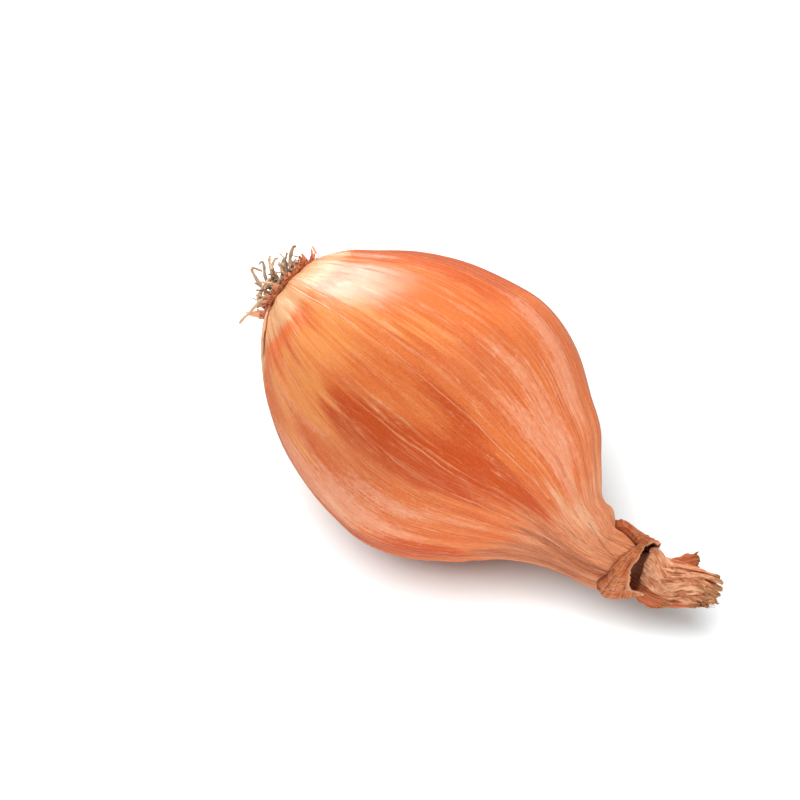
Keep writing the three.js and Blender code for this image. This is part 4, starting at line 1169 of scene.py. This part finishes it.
def add_flake(shape, angle, width, out, lift, curl, start, seed, tint):
    share, x = strip_grid(12, 13)
    ragged = 1 + 0.3 * noise(share * 7 + seed, np.sign(x) + 8, seed)
    across = x * width * (1 - 0.8 * share) * ragged
    radius = start + share * out * (1 - 0.3 * curl * share)
    crumple = 0.12 * noise(share * 5 + seed, x * 4 + 8, seed + 1)
    s = -0.85 - share * lift - curl * share**2 * 0.8 - 0.5 * x * x * share + crumple
    points = place(s, math.radians(angle) + across / radius, radius)
    add_sheet(shape, points, FLAKE_SKIN, vectors(across, share * out, 5.0 * seed), tint=tint)


def raggedness(angle):
    return 0.5 + 0.28 * np.sin(13 * angle) + 0.22 * np.sin(23 * angle + 1) + 0.2 * np.sin(5 * angle + 2)


def torn_piece():
    shape = Shape()
    columns = 360
    s, radius = (widen(column, columns) for column in zip(*TORN_PROFILE))
    angle = round_axis(s)
    ragged = np.clip(raggedness(angle), 0, 1)
    outside = np.clip((radius - 7.3) / 2.5, 0, 1)
    crumbs = round_noise(radius, angle, 0.8, 90, 101) + 0.6 * round_noise(radius, angle, 0.5, 150, 102)
    top = s < -0.2
    s = -0.25 + s * (0.5 + 0.9 * ragged) - 0.3 * np.clip(crumbs, -0.6, 1) * top
    radius = radius - 0.35 * outside + outside * ((ragged - 0.5) * 1.0 + 0.3 * crumbs)
    faces = ring_faces(len(TORN_PROFILE), columns)
    shape.add(place(s, angle, radius), faces, skin=rolled(radius, angle, s), tint=0.35)
    for number, row in enumerate(FLAKES):
        add_flake(shape, *row, 8.2, 110 + number, 0.95)
    add_shoulder_strip(shape)
    add_curl(shape)
    draw = np.random.default_rng(103).random
    for k in range(CRUMB_COUNT):
        angle = 360 * (k + 0.8 * draw()) / CRUMB_COUNT
        width = 0.7 + 1.5 * draw()
        out = 0.5 + 1.5 * draw() ** 1.5
        lift = -0.2 + 1.9 * draw() ** 1.5
        start = 7.5 + 1.7 * draw()
        add_flake(shape, angle, width, out, lift, 0.6 * draw(), start, 120 + k, draw())
    return shape.make("torn_skin_edge", torn_finish(), "torn_skin")


def torn_finish():
    f = Finish("torn_skin")
    tint = f.value("tint")
    grain = f.grain(1, 1.6, 4, 0.65)
    crumb = f.grain(1, 0.7, 3, 0.6)
    worn = f.less(1.0, f.times(f.step(tint, 0.7, 0.85), 0.7))
    f.base = f.mix(f.step(tint, 0.1, 0.8), (166, 82, 50), (244, 164, 122))
    # The pale flakes, strip and curl: pale skin, painted paler still as light against the shade they lie
    # in
    f.coat(f.step(tint, 0.82, 0.9), (252, 184, 142))
    f.stain(crumb, 0.5, 0.62, f.step(tint, 0.8, 0.5), (226, 142, 96))
    f.stain(grain, 0.5, 0.64, f.times(worn, 0.5), (186, 84, 46))
    f.stain(grain, 0.46, 0.38, f.times(worn, 0.8), (98, 42, 26))
    return f.close(0.6, 0.35, f.raise_by(grain, 0.2))


onion = [bulb_piece(), cuff_piece(), leaves_piece(), roots_piece(), torn_piece()]

# Floor, light and camera

AZIMUTH = 37.7
ELEVATION = 45
DISTANCE = 487
LENS = 100
FRAME_WIDTH = 800
SENSOR = 36
WIDEST_AT = 44  # along the axis, where the bulb is widest
WIDEST_PIXEL = (443.5, 417.4)


def direction(azimuth, elevation):
    """The direction towards an azimuth and elevation in degrees."""
    a = math.radians(azimuth)
    e = math.radians(elevation)
    return np.array([math.sin(a) * math.cos(e), -math.cos(a) * math.cos(e), math.sin(e)])


def make_floor():
    mesh = bpy.data.meshes.new("floor")
    reach = 3.0
    corners = [(-reach, -reach, 0), (reach, -reach, 0), (reach, reach, 0), (-reach, reach, 0)]
    mesh.from_pydata(corners, [], [(0, 1, 2, 3)])
    f = Finish("floor")
    f.set("Base Color", (0.6, 0.635, 0.64, 1))
    f.set("Roughness", 0.9)
    f.set("Specular IOR Level", 0.1)
    mesh.materials.append(f.material)
    floor = show("floor", mesh)
    floor.visible_glossy = False
    floor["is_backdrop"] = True
    return floor


def make_panel(name, lit, azimuth, elevation, distance, width, height, radiance, shows="both"):
    """A soft light on some objects, in their plain colour ("diffuse"), their shine ("gloss") or both."""
    away = Vector(direction(azimuth, elevation))
    light = bpy.data.lights.new(name, "AREA")
    light.shape = "RECTANGLE"
    light.size = width
    light.size_y = height
    light.energy = radiance * math.pi * width * height
    panel = show(name, light)
    panel.location = Vector((0, 0, 0.03)) + away * distance
    panel.rotation_euler = away.to_track_quat("Z", "Y").to_euler()
    group = bpy.data.collections.new(name + "_lights")
    for piece in lit:
        group.objects.link(piece)
    panel.light_linking.receiver_collection = group
    panel.visible_diffuse = shows != "gloss"
    panel.visible_transmission = shows != "gloss"
    panel.visible_glossy = shows != "diffuse"


def make_world(strength):
    world = bpy.data.worlds.new("studio")
    world.use_nodes = True
    world.node_tree.nodes["Background"].inputs["Color"].default_value = (1, 1, 1, 1)
    world.node_tree.nodes["Background"].inputs["Strength"].default_value = strength
    bpy.context.scene.world = world


def make_camera():
    back = direction(AZIMUTH, ELEVATION)
    right = direction(AZIMUTH + 90, 0)
    up = np.cross(back, right)
    pixel = DISTANCE * SENSOR / (LENS * FRAME_WIDTH)
    widest = ROOT_END + AXIS * WIDEST_AT
    aim = widest - right * (WIDEST_PIXEL[0] - 400) * pixel + up * (WIDEST_PIXEL[1] - 400) * pixel
    eye = aim + back * DISTANCE
    data = bpy.data.cameras.new("camera")
    data.lens = LENS
    data.sensor_width = SENSOR
    camera = show("camera", data)
    turned = Matrix(np.stack([right, up, back], 1).tolist()).to_4x4()
    camera.matrix_world = Matrix.Translation(Vector(eye * MILLIMETRE)) @ turned
    bpy.context.scene.camera = camera


floor = make_floor()
make_world(0.22)
make_panel("overhead", onion, 112, 64, 1.5, 1.8, 1.8, 2.1, "diffuse")
make_panel("key", onion, -116, 33, 0.95, 0.75, 0.5, 7.8, "diffuse")
make_panel("fill", onion, 20, 20, 1.5, 1.2, 1.0, 0.9, "diffuse")
make_panel("window", onion, -115, 25, 0.95, 0.46, 0.56, 10, "gloss")
make_panel("floor_light", [floor], 0, 69, 1.4, 1.5, 1.5, 9.4)
make_camera()
bpy.context.scene.view_settings.view_transform = "Standard"

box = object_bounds()
lists = [[list(corner) for corner in pair] for pair in (CAD_BOX, box)]
